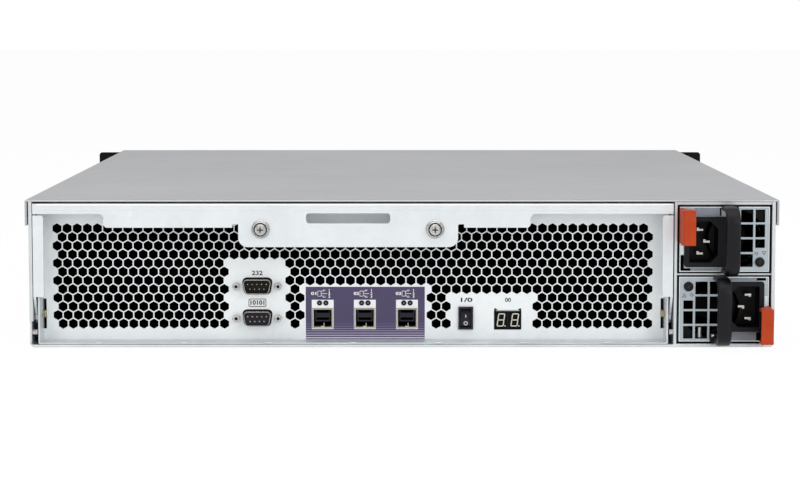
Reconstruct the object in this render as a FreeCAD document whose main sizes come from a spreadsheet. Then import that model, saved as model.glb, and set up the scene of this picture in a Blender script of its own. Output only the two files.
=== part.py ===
import FreeCAD, Part
import math
import os
import re

import Sketcher

# A two-unit, 19-inch disk shelf seen as it would come apart on a bench: a galvanised tray under a two-part
# cover, a controller canister and two stacked power supplies pushed in from the rear, a midplane board across
# the middle, and twelve drive carriers pushed in from the front.
#
# Millimetres. X runs to the right of someone who faces the rear, Y runs from the rear to the rack ears at the
# front, Z is up. The origin is the middle of the tray's underside.

VECTOR = FreeCAD.Vector
UP = VECTOR(0, 0, 1)
ALONG = VECTOR(0, 1, 0)
ACROSS = VECTOR(1, 0, 0)

# Driving sizes. Each stands once, as a plain number in the sheet.
SIZES = {
    # chassis
    "shelf_high": 87.5,
    "shelf_deep": 535.0,
    "tray_wide": 440.4,
    "wall_thick": 1.0,
    "floor_thick": 1.2,
    "cover_thick": 1.2,
    "cover_lip": 15.2,
    "lip_gap": 0.8,
    "cover_split": 228.0,
    "split_gap": 0.6,
    "hem_thick": 1.0,
    "hem_deep": 11.0,
    "hem_low": 15.4,
    "corner_bend": 2.0,
    "seat_gap": 0.3,
    "cover_screw_head": 3.0,
    "cover_screw_out": 0.9,
    # rack ears
    "ear_reach": 21.1,
    "rack_hole_inset": 8.75,
    "hole_pitch_high": 76.2,
    "rack_slot_high": 6.8,
    "rack_slot_long": 10.2,
    "ear_thick": 2.0,
    "ear_high": 84.4,
    "ear_foot": 1.3,
    "ear_leg_long": 46.0,
    "ear_leg_thick": 1.5,
    "ear_corner": 1.5,
    # bays behind the rear face
    "power_bay_wide": 58.5,
    "divider_thick": 1.0,
    "divider_foot": 6.0,
    "drive_bay_deep": 203.5,
    "plug_room": 9.5,
    "plug_gap": 0.5,
    "midplane_thick": 2.4,
    "midplane_margin": 3.0,
    "bay_shelf_place": 42.75,
    "bay_shelf_thick": 1.0,
    "rail_top_deep": 18.0,
    "rail_high": 1.2,
    "rail_low_high": 0.7,
    # controller canister
    "canister_wall_gap": 3.8,
    "canister_divider_gap": 3.1,
    "canister_low": 1.5,
    "canister_high": 83.5,
    "canister_set_back": 2.0,
    "canister_sheet": 1.0,
    "canister_flange": 9.0,
    "face_recess": 18.0,
    "face_thick": 1.2,
    "notch_high": 18.0,
    "notch_low": 9.0,
    "notch_wide": 3.0,
    # honeycomb of the face
    "cell_pitch": 13.5,
    "cell_wall": 2.2,
    "comb_margin": 0.3,
    "comb_side_left": 8.4,
    "comb_side_right": 9.6,
    "comb_low": 9.5,
    "comb_high": 71.5,
    # ejector handle
    "handle_wall_gap": 1.4,
    "handle_divider_gap": 0.7,
    "handle_sheet": 1.5,
    "handle_high": 85.2,
    "bar_low": 79.1,
    "tab_low": 71.0,
    "middle_low": 59.5,
    "middle_left": -96.6,
    "middle_right": 33.0,
    "relief_wide": 3.5,
    "relief_high": 2.0,
    "tab_round": 5.5,
    "tab_left_inset": 41.8,
    "tab_right_out": 75.7,
    "finger_left": -56.6,
    "finger_right": -7.0,
    "finger_low": 73.5,
    "finger_high": 79.5,
    "finger_round": 1.9,
    "arm_wide": 6.3,
    "arm_low": 29.9,
    "arm_high": 78.2,
    "arm_round": 2.0,
    "side_deep": 14.0,
    "foot_round": 5.2,
    "pivot_high": 18.2,
    "pivot_behind": 12.5,
    "pivot_radius": 2.4,
    "pivot_fit": 0.08,
    "pivot_reach": 2.4,
    "post_radius": 3.2,
    "post_bore": 2.3,
    "post_gap": 1.0,
    "top_fold": 7.0,
    # ejector pins on the chassis
    "pin_radius": 1.75,
    "pin_high": 8.6,
    "pin_behind": 4.0,
    "pin_left_long": 3.2,
    "pin_right_long": 2.4,
    # captive screws
    "screw_left": -83.4,
    "screw_right": 19.4,
    "screw_high": 70.1,
    "screw_head": 3.3,
    "screw_shank": 1.6,
    "screw_out": 6.0,
    "screw_tip": 5.0,
    "head_gap": 0.3,
    "sleeve_out": 3.5,
    "sleeve_wall": 0.8,
    # serial ports
    "serial_place": -86.5,
    "serial_male_high": 34.5,
    "serial_female_high": 15.3,
    "serial_wide": 18.6,
    "serial_tall": 10.0,
    "serial_slope": 1.6,
    "serial_skin": 0.7,
    "serial_out": 6.0,
    "serial_pin_pitch": 2.77,
    "serial_row_pitch": 2.84,
    "jack_pitch": 25.0,
    "jack_flats": 5.0,
    "jack_bore": 1.3,
    "jack_out": 5.0,
    # controller board
    "board_high": 6.0,
    "board_thick": 1.6,
    "cooler_wide": 48.0,
    "cooler_a_side": 95.0,
    "cooler_a_deep": 120.0,
    "cooler_b_side": 230.0,
    "cooler_b_deep": 95.0,
    "memory_side": 71.0,
    "memory_pitch": 9.0,
    "memory_wide": 4.0,
    "memory_rear": 60.0,
    "memory_long": 133.0,
    "memory_high": 31.0,
    "board_side_gap": 4.0,
    "board_plug_wide": 90.0,
    "board_plug_deep": 14.0,
    "board_plug_high": 14.0,
    "rail_set_in": 0.8,
    "cage_fit": 0.2,
    "light_fit": 0.05,
    "cooler_high": 26.0,
    "cooler_base": 4.0,
    "fin_thick": 1.2,
    "fin_count": 8.0,
    "midplane_plug": -30.0,
    # host ports
    "host_first": -53.4,
    "host_pitch": 25.2,
    "host_wide": 11.9,
    "host_low": 9.3,
    "host_tall": 11.7,
    "host_skin": 0.5,
    "host_deep": 26.0,
    "host_out": 0.6,
    "light_radius": 1.3,
    "light_out": 1.7,
    "light_deep": 3.5,
    "light_high": 24.3,
    "light_pitch": 3.8,
    # display and switch
    "display_left": 55.2,
    "display_low": 8.3,
    "display_wide": 16.1,
    "display_tall": 11.5,
    "display_deep": 9.0,
    "switch_left": 33.7,
    "switch_low": 8.4,
    "switch_wide": 8.8,
    "switch_tall": 13.6,
    "switch_deep": 14.0,
    "rocker_margin": 1.5,
    # power supplies
    "supply_side_gap": 1.3,
    "supply_wide": 54.5,
    "supply_high": 40.0,
    "supply_low": 2.5,
    "supply_sheet": 1.0,
    "grille_sheet": 1.0,
    "grille_edge": 3.4,
    "grille_narrow": 5.7,
    "grille_second": 10.4,
    "grille_window": 7.3,
    "grille_window_high": 7.6,
    "grille_bar": 1.2,
    "grille_foot": 2.4,
    "lamp_across": 6.3,
    "lamp_drop": 6.5,
    "lamp_radius": 2.5,
    "fan_radius": 17.0,
    "fan_gap": 0.6,
    "fan_deep": 24.0,
    "fan_hub": 8.0,
    "fan_axle": 2.0,
    "blade_chord": 19.0,
    "blade_lean": 40.0,
    "rotor_blade_thick": 1.3,
    "fan_behind": 24.0,
    "fan_side": 19.5,
    "inlet_left": 27.5,
    "inlet_low": 6.6,
    "inlet_wide": 23.5,
    "inlet_tall": 29.8,
    "inlet_edge": 1.0,
    "inlet_out": 1.6,
    "inlet_deep": 17.0,
    "socket_side": 39.7,
    "socket_wide": 17.0,
    "socket_tall": 24.5,
    "socket_corner": 4.5,
    "blade_thick": 2.0,
    "blade_wide": 4.0,
    "blade_offset": 2.0,
    "blade_pitch": 7.0,
    "grip_place": 25.0,
    "grip_wide": 8.5,
    "grip_out": 24.0,
    "grip_bar": 5.5,
    "grip_leg": 3.2,
    "grip_round": 6.0,
    "latch_wide": 7.3,
    "latch_tall": 20.4,
    "latch_low": 1.5,
    "latch_out": 21.5,
    "latch_skin": 1.4,
    "latch_back": 12.0,
    "latch_inset": 0.5,
    # drive bay
    "drive_columns": 4.0,
    "drive_rows": 3.0,
    "drive_gap": 0.5,
    "cage_sheet": 1.0,
    "rib_wide": 2.4,
    "rib_high": 1.0,
    "sled_back_gap": 4.1,
    "sled_rail": 3.0,
    "disk_high": 24.8,
    "disk_end_gap": 35.0,
    "rail_high_drive": 15.0,
    "bezel_deep": 12.0,
    "front_recess": 3.0,
    "lever_side": 6.0,
    "lever_room": 35.6,
    "lever_tall": 17.0,
    "lever_deep": 5.0,
    "lever_pin": 1.4,
    "groove_end": 5.0,
    "groove_pitch": 5.0,
    "vent_pitch": 8.5,
    "vent_wide": 5.5,
    "plug_side": 8.0,
    "plug_wide": 34.0,
    "plug_foot": 5.0,
    "plug_high": 8.0,
    "window_foot": 6.0,
    "midplane_plug_wide": 90.0,
}

# Places worked out from the sizes, each a formula in a second sheet.
PLACES = {
    "rear": "-shelf_deep / 2",
    "front": "shelf_deep / 2",
    "wall_out": "tray_wide / 2",
    "wall_in": "tray_wide / 2 - wall_thick",
    "tray_top": "shelf_high - cover_thick",
    "cover_out": "tray_wide / 2 + lip_gap + cover_thick",
    "cover_in": "tray_wide / 2 + lip_gap",
    "lip_low": "shelf_high - cover_lip",
    "seam": "-shelf_deep / 2 + cover_split",
    "rack_out": "tray_wide / 2 + ear_reach",
    "divider_place": "wall_in - power_bay_wide",
    "divider_face": "divider_place + divider_thick",
    "midplane_rear": "front - drive_bay_deep",
    "midplane_front": "midplane_rear + midplane_thick",
    "bay_front": "midplane_rear - plug_room",
    "plug_rear": "bay_front + plug_gap",
    "canister_left": "-wall_in + canister_wall_gap",
    "canister_right": "divider_place - canister_divider_gap",
    "canister_rear": "-shelf_deep / 2 + canister_set_back",
    "canister_top": "canister_low + canister_high",
    "inner_left": "canister_left + canister_sheet",
    "inner_right": "canister_right - canister_sheet",
    "face_rear": "-shelf_deep / 2 + face_recess",
    "face_front": "-shelf_deep / 2 + face_recess + face_thick",
    "face_low": "canister_low + canister_sheet",
    "comb_left": "canister_left + comb_side_left",
    "comb_right": "canister_right - comb_side_right",
    "handle_left": "-wall_in + handle_wall_gap",
    "handle_right": "divider_place - handle_divider_gap",
    "tab_left_out": "handle_left + tab_left_inset",
    "handle_rear": "-shelf_deep / 2",
    "handle_front": "-shelf_deep / 2 + handle_sheet",
    "pivot_place": "-shelf_deep / 2 + pivot_behind",
    "supply_left": "divider_face + supply_side_gap",
    "supply_right": "supply_left + supply_wide",
    "supply_rear": "-shelf_deep / 2 + 1",
    "socket_across": "supply_left + socket_side",
    "fan_across": "supply_left + fan_side",
    "fan_up": "supply_low + supply_high / 2",
    "latch_face": "supply_left + supply_wide - latch_inset",
    "latch_pivot_along": "-shelf_deep / 2 + 1 + latch_back - 1.4",
    "rocker_left": "switch_left + rocker_margin",
    "rocker_right": "switch_left + switch_wide - rocker_margin",
    "rocker_low": "switch_low + rocker_margin",
    "rocker_high": "switch_low + switch_tall - rocker_margin",
    "rocker_pivot": "-shelf_deep / 2 + face_recess + 1.5",
    "sled_front": "shelf_deep / 2 - front_recess",
    "sled_long": "drive_bay_deep - midplane_thick - front_recess - sled_back_gap",
    "sled_rear": "sled_front - sled_long",
    "column_wide": "(tray_wide - 2 * wall_thick) / drive_columns",
    "row_high": "(shelf_high - cover_thick - floor_thick) / drive_rows",
    "low_rail_top": "floor_thick + rail_low_high",
    "disk_wide": "column_wide - cage_sheet - 2 * drive_gap - 2 * sled_rail",
    "disk_long": "sled_long - bezel_deep - disk_end_gap",
    "lever_long": "column_wide - lever_room",
    "lever_left": "-tray_wide / 2 + wall_thick + lever_side",
    "lever_low": "floor_thick + (row_high - lever_tall) / 2",
    "lever_pin_across": "lever_left + lever_deep / 2",
    "lever_pin_along": "sled_front - lever_deep / 2 - 0.1",
    "rack_x": "rack_out - rack_hole_inset",
    "rack_low": "shelf_high / 2 - hole_pitch_high / 2",
    "rack_high": "shelf_high / 2 + hole_pitch_high / 2",
}

doc = FreeCAD.newDocument("DiskShelf")
sizes = doc.addObject("Spreadsheet::Sheet", "Sizes")
places = doc.addObject("Spreadsheet::Sheet", "Places")
desk = doc.addObject("Spreadsheet::Sheet", "Desk")


def formula(text):
    """Text with every size and place written as the cell that holds it."""

    def cell(match):
        word = match.group()
        if word in SIZES:
            return "Sizes." + word
        if word in PLACES:
            return "Places." + word
        return word

    return re.sub(r"[a-z][a-z_0-9]*", cell, str(text))


def value(text):
    """The number that a formula comes to."""
    desk.set("A1", "=" + formula(text))
    desk.recompute()
    return float(desk.get("A1"))


def fill_sheets():
    for row, (name, number) in enumerate(SIZES.items(), 1):
        sizes.set(f"A{row}", name)
        sizes.set(f"B{row}", str(number))
        sizes.setAlias(f"B{row}", name)
    doc.recompute()
    for row, (name, text) in enumerate(PLACES.items(), 1):
        places.set(f"A{row}", name)
        places.setAlias(f"B{row}", name)
    for row, (name, text) in enumerate(PLACES.items(), 1):
        places.set(f"B{row}", "=" + formula(text))
    doc.recompute()


PARTS = []


def keep(piece, name):
    """Gives a finished piece its name and puts it on the list that is written out."""
    piece.Label = name
    PARTS.append(piece)
    return piece


def bind(piece, **formulas):
    """Ties properties to formulas; an underscore pair stands for a dot in the property's path."""
    for path, text in formulas.items():
        piece.setExpression(path.replace("__", "."), formula(text))
    return piece


# Sketches. A sketch lies on one of its body's own origin planes, moved along that plane's normal.

NORMALS = {"XY_Plane": UP, "XZ_Plane": -ALONG, "YZ_Plane": ACROSS}


class Drawing:
    """A sketch whose points and radii are tied to formulas."""

    def __init__(self, body, name, plane, at):
        self.sketch = body.newObject("Sketcher::SketchObject", name)
        support = [item for item in body.Origin.OriginFeatures if item.Role == plane][0]
        self.sketch.AttachmentSupport = [(support, "")]
        self.sketch.MapMode = "FlatFace"
        sign = "-" if plane == "XZ_Plane" else ""
        self.sketch.setExpression("AttachmentOffset.Base.z", formula(f"{sign}({at})"))

    def tie(self, kind, element, point, text):
        number = value(text)
        if kind == "Radius":
            index = self.sketch.addConstraint(Sketcher.Constraint(kind, element, number))
        else:
            index = self.sketch.addConstraint(Sketcher.Constraint(kind, -1, 1, element, point, number))
        if re.search("[a-z]", str(text)):
            self.sketch.setExpression(f"Constraints[{index}]", formula(text))

    def outline(self, points):
        """A closed outline through points, each a pair of formulas."""
        flat = [VECTOR(value(across), value(along), 0) for across, along in points]
        count = len(flat)
        lines = [Part.LineSegment(flat[i], flat[(i + 1) % count]) for i in range(count)]
        ids = self.sketch.addGeometry(lines, False)
        first = ids[0]
        nexts = [(i + 1) % count for i in range(count)]
        joins = [Sketcher.Constraint("Coincident", first + i, 2, first + nexts[i], 1) for i in range(count)]
        self.sketch.addConstraint(joins)
        for i, (across, along) in enumerate(points):
            self.tie("DistanceX", first + i, 1, across)
            self.tie("DistanceY", first + i, 1, along)
        return self

    def oblong(self, left, right, low, high):
        return self.outline([(left, low), (right, low), (right, high), (left, high)])

    def circle(self, across, along, radius):
        centre = VECTOR(value(across), value(along), 0)
        ring = self.sketch.addGeometry(Part.Circle(centre, UP, value(radius)), False)
        self.tie("DistanceX", ring, 3, across)
        self.tie("DistanceY", ring, 3, along)
        self.tie("Radius", ring, 0, radius)
        return self

    def ring(self, across, along, radius, count=12):
        """A regular outline with its corners on a circle, for small round features."""
        corners = []
        for step in range(count):
            turn = math.radians(step * 360 / count)
            side = f"{across} + ({radius}) * ({math.cos(turn):.6f})"
            corners.append((side, f"{along} + ({radius}) * ({math.sin(turn):.6f})"))
        return self.outline(corners)

    def slot(self, left, right, along, radius):
        """A slot with round ends whose end centres are left and right."""
        one = VECTOR(value(left), value(along), 0)
        two = VECTOR(value(right), value(along), 0)
        size = value(radius)
        rise = VECTOR(0, size, 0)
        start = self.sketch.addGeometry(
            [
                Part.ArcOfCircle(Part.Circle(one, UP, size), math.pi / 2, 3 * math.pi / 2),
                Part.ArcOfCircle(Part.Circle(two, UP, size), -math.pi / 2, math.pi / 2),
                Part.LineSegment(one - rise, two - rise),
                Part.LineSegment(two + rise, one + rise),
            ],
            False,
        )[0]
        self.sketch.addConstraint(
            [
                Sketcher.Constraint("Tangent", start, 2, start + 2, 1),
                Sketcher.Constraint("Tangent", start + 2, 2, start + 1, 1),
                Sketcher.Constraint("Tangent", start + 1, 2, start + 3, 1),
                Sketcher.Constraint("Tangent", start + 3, 2, start, 1),
                Sketcher.Constraint("Horizontal", start + 2),
            ]
        )
        self.tie("DistanceX", start, 3, left)
        self.tie("DistanceY", start, 3, along)
        self.tie("DistanceX", start + 1, 3, right)
        self.tie("Radius", start, 0, radius)
        return self


def new_body(name):
    return doc.addObject("PartDesign::Body", name)


def pad(body, name, plane, low, high, draw):
    """Solid between two stations on a plane's normal; draw puts the outlines on the sketch."""
    backward = plane == "XZ_Plane"
    drawing = Drawing(body, name + "_sketch", plane, high if backward else low)
    draw(drawing)
    feature = body.newObject("PartDesign::Pad", name)
    feature.Profile = drawing.sketch
    bind(feature, Length=f"({high}) - ({low})")
    drawing.sketch.Visibility = False
    return feature


def pocket(body, name, plane, low, high, draw):
    """Cut between two stations on a plane's normal, taken from the body's solid."""
    backward = plane == "XZ_Plane"
    drawing = Drawing(body, name + "_sketch", plane, low if backward else high)
    draw(drawing)
    doc.recompute()
    before = body.Shape.Volume
    feature = body.newObject("PartDesign::Pocket", name)
    feature.Profile = drawing.sketch
    bind(feature, Length=f"({high}) - ({low})")
    doc.recompute()
    if not body.Shape.Volume < before:
        raise ValueError(f"{name} cuts nothing")
    return feature


def edges_at(shape, spots, direction):
    """Names of the straight edges along a direction that pass over the given spots."""
    found = []
    for number, edge in enumerate(shape.Edges, 1):
        if not isinstance(edge.Curve, Part.Line):
            continue
        if abs(abs(edge.Curve.Direction.dot(direction)) - 1) > 1e-6:
            continue
        for spot in spots:
            gap = spot - edge.Vertexes[0].Point
            if (gap - direction * gap.dot(direction)).Length < 1e-4:
                found.append(f"Edge{number}")
                break
    return found


def spots_on(plane, points):
    """Points in space for pairs of formulas on a plane."""
    flat = [(value(across), value(along)) for across, along in points]
    if plane == "XY_Plane":
        return [VECTOR(a, b, 0) for a, b in flat]
    if plane == "XZ_Plane":
        return [VECTOR(a, 0, b) for a, b in flat]
    return [VECTOR(0, a, b) for a, b in flat]


def round_off(body, name, plane, points, radius, kind="PartDesign::Fillet"):
    """Rounds the body's edges that stand on the plane at the given corners."""
    doc.recompute()
    base = body.Tip
    feature = body.newObject(kind, name)
    names = edges_at(base.Shape, spots_on(plane, points), NORMALS[plane])
    if not names:
        raise ValueError(f"{name} finds no edges")
    feature.Base = (base, names)
    bind(feature, **({"Radius": radius} if kind.endswith("Fillet") else {"Size": radius}))
    doc.recompute()
    return feature


# Plain primitives, placed by formulas.

LIE_ALONG = FreeCAD.Rotation(ACROSS, -90)
LIE_ACROSS = FreeCAD.Rotation(ALONG, 90)


def bevel(body, name, plane, points, size):
    """Cuts the body's edges that stand on the plane at the given corners."""
    return round_off(body, name, plane, points, size, "PartDesign::Chamfer")


def put(piece, across, along, up, turn=None):
    if turn is not None:
        piece.Placement = FreeCAD.Placement(VECTOR(), turn)
    bind(piece, Placement__Base__x=across, Placement__Base__y=along, Placement__Base__z=up)
    return piece


def block(name, left, right, rear, front, low, high):
    piece = doc.addObject("Part::Box", name)
    bind(piece, Length=f"({right}) - ({left})", Width=f"({front}) - ({rear})", Height=f"({high}) - ({low})")
    return put(piece, left, rear, low)


def bar(name, count, radius, length, turn=LIE_ALONG):
    """Prism with its corners on a circle; lying along Y unless another turn is given."""
    piece = doc.addObject("Part::Prism", name)
    piece.Polygon = count
    piece.Placement = FreeCAD.Placement(VECTOR(), turn)
    return bind(piece, Circumradius=radius, Height=length)


def cut(name, base, *tools):
    piece = doc.addObject("Part::Cut", name)
    piece.Base = base
    piece.Tool = tools[0] if len(tools) == 1 else join(name + "_tools", *tools)
    return piece


def join(name, *pieces):
    piece = doc.addObject("Part::MultiFuse", name)
    piece.Shapes = list(pieces)
    return piece


def group(name, *pieces):
    """Separate solids under one name."""
    piece = doc.addObject("Part::Compound", name)
    piece.Links = list(pieces)
    return piece


# Chassis


def make_tray():
    """Folded sheet: a floor and two walls, with hemmed rear edges and a notch under each hem."""
    body = new_body("Tray")
    section = [
        ("-wall_out", "0"),
        ("wall_out", "0"),
        ("wall_out", "tray_top"),
        ("wall_in", "tray_top"),
        ("wall_in", "floor_thick"),
        ("-wall_in", "floor_thick"),
        ("-wall_in", "tray_top"),
        ("-wall_out", "tray_top"),
    ]
    pad(body, "TrayFold", "XZ_Plane", "rear", "front", lambda d: d.outline(section))
    inside = [("-wall_in", "floor_thick"), ("wall_in", "floor_thick")]
    outside = [("-wall_out", "0"), ("wall_out", "0")]
    bevel(body, "TrayInnerBend", "XZ_Plane", inside, "corner_bend - wall_thick")
    bevel(body, "TrayOuterBend", "XZ_Plane", outside, "corner_bend")

    def hems(drawing):
        drawing.oblong("-wall_in", "-wall_in + hem_thick", "hem_low", "tray_top")
        drawing.oblong("wall_in - hem_thick", "wall_in", "hem_low", "tray_top")

    pad(body, "TrayHems", "XZ_Plane", "rear", "rear + hem_deep", hems)
    notch_low = "corner_bend + floor_thick"

    def notches(drawing):
        drawing.oblong("rear - 1", "rear + pin_behind - pin_radius - 0.4", notch_low, "hem_low")

    pocket(body, "TrayNotches", "YZ_Plane", "-wall_out - 1", "wall_out + 1", notches)
    return keep(body, "chassis_tray")


COVER_SCREWS = ["rear + 40", "seam - 30", "seam + 40", "front - 60"]


def make_cover(name, rear, front):
    """Top sheet whose two sides fold down over the tray's walls."""
    body = new_body(name + "_body")
    section = [
        ("-cover_out", "lip_low"),
        ("-cover_in", "lip_low"),
        ("-cover_in", "tray_top"),
        ("cover_in", "tray_top"),
        ("cover_in", "lip_low"),
        ("cover_out", "lip_low"),
        ("cover_out", "shelf_high"),
        ("-cover_out", "shelf_high"),
    ]
    pad(body, name + "_fold", "XZ_Plane", rear, front, lambda d: d.outline(section))
    corners = [("-cover_out", "shelf_high"), ("cover_out", "shelf_high")]
    bevel(body, name + "_bend", "XZ_Plane", corners, "cover_thick * 0.6")
    return keep(body, name)


def make_cover_screws():
    """Low screw heads that seat on the cover's lips."""
    heads = []
    for number, station in enumerate(COVER_SCREWS):
        for tag, start in (("A", "-cover_out - cover_screw_out"), ("B", "cover_out")):
            head = bar(f"CoverScrew{number}{tag}", 8, "cover_screw_head", "cover_screw_out", LIE_ACROSS)
            heads.append(put(head, start, station, "shelf_high - cover_lip / 2"))
    return keep(group("CoverScrews", *heads), "cover_screws")


def make_ear(name, side):
    """Black rack ear: a plate with two slots in front and a leg along the tray's wall."""
    body = new_body(name + "_body")

    def at(text):
        return f"-({text})" if side < 0 else text

    leg = [
        (at("wall_out"), "front - ear_leg_long"),
        (at("wall_out + ear_leg_thick"), "front - ear_leg_long"),
        (at("wall_out + ear_leg_thick"), "front - ear_thick"),
        (at("wall_out"), "front - ear_thick"),
    ]
    plate = [
        (at("wall_out"), "ear_foot"),
        (at("rack_out"), "ear_foot"),
        (at("rack_out"), "ear_foot + ear_high"),
        (at("wall_out"), "ear_foot + ear_high"),
    ]
    pad(body, name + "_plate", "XZ_Plane", "front - ear_thick", "front", lambda d: d.outline(plate))
    pad(body, name + "_leg", "XY_Plane", "ear_foot", "lip_low - seat_gap", lambda d: d.outline(leg))
    bevel(body, name + "_corner", "XZ_Plane", [plate[1], plate[2]], "ear_corner")
    middle = at("rack_x")

    def slots(drawing):
        reach = "(rack_slot_long - rack_slot_high) / 2"
        for up in ("rack_low", "rack_high"):
            drawing.slot(f"{middle} - {reach}", f"{middle} + {reach}", up, "rack_slot_high / 2")

    pocket(body, name + "_slots", "XZ_Plane", "front - ear_thick - 1", "front + 1", slots)
    return keep(body, name)


def make_divider():
    """Wall between the controller bay and the power bay, with a hemmed rear edge and a foot on the floor."""
    body = new_body("Divider")
    section = [
        ("divider_place", "floor_thick"),
        ("divider_face + divider_foot", "floor_thick"),
        ("divider_face + divider_foot", "floor_thick + rail_low_high"),
        ("divider_face", "floor_thick + rail_low_high"),
        ("divider_face", "tray_top"),
        ("divider_place", "tray_top"),
    ]
    pad(body, "DividerFold", "XZ_Plane", "rear + 0.5", "midplane_rear", lambda d: d.outline(section))

    def hem(drawing):
        drawing.oblong("divider_face", "divider_face + 0.6", "floor_thick + rail_low_high", "tray_top")

    pad(body, "DividerHem", "XZ_Plane", "rear + 0.5", "rear + hem_deep", hem)
    return keep(body, "psu_divider_wall")


def make_bay_shelf():
    """Level shelf between the two power supplies, with an upturned stop flange at its inner end."""
    body = new_body("BayShelf")
    profile = [
        ("rear + 1.5", "bay_shelf_place"),
        ("midplane_rear - 24", "bay_shelf_place"),
        ("midplane_rear - 24", "bay_shelf_place + bay_shelf_thick"),
        ("rear + 1.5", "bay_shelf_place + bay_shelf_thick"),
    ]
    pad(body, "BayShelfSheet", "YZ_Plane", "divider_face", "wall_in", lambda d: d.outline(profile))

    def hem_clearance(drawing):
        drawing.oblong("divider_face - 1", "divider_face + 0.6", "rear", "rear + hem_deep")
        drawing.oblong("wall_in - hem_thick", "wall_in + 1", "rear", "rear + hem_deep")

    pocket(body, "BayShelfCorners", "XY_Plane", "bay_shelf_place - 1", "bay_shelf_place + 3", hem_clearance)
    return keep(body, "psu_shelf")


def make_bay_rails():
    """Folded strips that close the power bay above and below."""
    left = "divider_face + 0.6"
    right = "wall_in - hem_thick"
    near, under = "rear + rail_set_in", "tray_top - rail_high"
    top = block("TopRail", left, right, near, "rear + rail_top_deep", under, "tray_top")
    fold = block("TopRailFold", left, right, near, "rear + 2", "tray_top - 1.8", under)
    low_left = "divider_face + divider_foot"
    low = block("LowRail", low_left, right, near, "midplane_rear - 60", "floor_thick", "low_rail_top")
    return keep(group("BayRails", join("TopRailWhole", top, fold), low), "psu_bay_rails")


def make_ejector_pins():
    """Fixed pins that the handle's feet lever against, one on the left wall and one on the divider."""
    pins = []
    for tag, start, length in (
        ("Left", "-wall_in", "pin_left_long"),
        ("Right", "divider_place - pin_right_long", "pin_right_long"),
    ):
        pin = bar("Pin" + tag, 12, "pin_radius", length, LIE_ACROSS)
        pins.append(put(pin, start, "rear + pin_behind", "pin_high"))
    return keep(group("EjectorPins", *pins), "ejector_pins")


# Controller canister


def make_canister_tray():
    """Folded tray: floor, two sides and short flanges turned in at the top."""
    body = new_body("CanisterTray")
    section = [
        ("canister_left", "canister_low"),
        ("canister_right", "canister_low"),
        ("canister_right", "canister_top"),
        ("canister_right - canister_flange", "canister_top"),
        ("canister_right - canister_flange", "canister_top - canister_sheet"),
        ("inner_right", "canister_top - canister_sheet"),
        ("inner_right", "face_low"),
        ("inner_left", "face_low"),
        ("inner_left", "canister_top - canister_sheet"),
        ("canister_left + canister_flange", "canister_top - canister_sheet"),
        ("canister_left + canister_flange", "canister_top"),
        ("canister_left", "canister_top"),
    ]
    pad(body, "CanisterFold", "XZ_Plane", "canister_rear", "bay_front", lambda d: d.outline(section))
    bends = [section[0], section[1], section[2], section[11]]
    bevel(body, "CanisterBend", "XZ_Plane", bends, "canister_sheet * 0.6")

    def top_relief(drawing):
        drawing.oblong("canister_left - 1", "canister_right + 1", "canister_rear - 1", "canister_rear + 6")

    pocket(body, "CanisterTopRelief", "XY_Plane", "canister_top - 2", "canister_top + 1", top_relief)
    return keep(body, "canister_tray")


def comb_centres():
    """Centres of the face's cells: staggered rows, left out around the ports and behind the middle tab."""
    pitch = value("cell_pitch")
    rise = pitch * math.sqrt(3) / 2
    reach = pitch / 2 + value("comb_margin")
    left, right = value("comb_left"), value("comb_right")
    low, high = value("comb_low"), value("comb_high")
    blanks = [tuple(value(edge) for edge in blank) for blank in BLANKS]
    rows = int((high - low - pitch) / rise) + 1
    centres = []
    for row in range(rows):
        up = high - pitch / 2 - row * rise
        start = left + pitch / 2 + (row % 2) * pitch / 2
        for column in range(int((right - pitch / 2 - start) / pitch) + 1):
            across = start + column * pitch
            covered = [
                one
                for one in blanks
                if one[0] - reach < across < one[1] + reach and one[2] - reach < up < one[3] + reach
            ]
            if not covered:
                centres.append((across, up))
    return centres


# What the cells keep clear of: left, right, low and high edges.
BLANKS = [
    ("serial_place - jack_pitch / 2", "serial_place + jack_pitch / 2", "0", "serial_male_high + 12"),
    ("host_first", "host_first + 2 * host_pitch + host_wide", "0", "light_high + 5"),
    ("switch_left", "display_left + display_wide", "0", "display_low + display_tall + 5"),
    ("middle_left", "middle_right", "middle_low + 4", "canister_top"),
    ("inner_left", "inner_left + notch_wide", "0", "notch_low + notch_high + 1"),
    ("inner_right - notch_wide", "inner_right", "0", "notch_low + notch_high + 1"),
]


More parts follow.
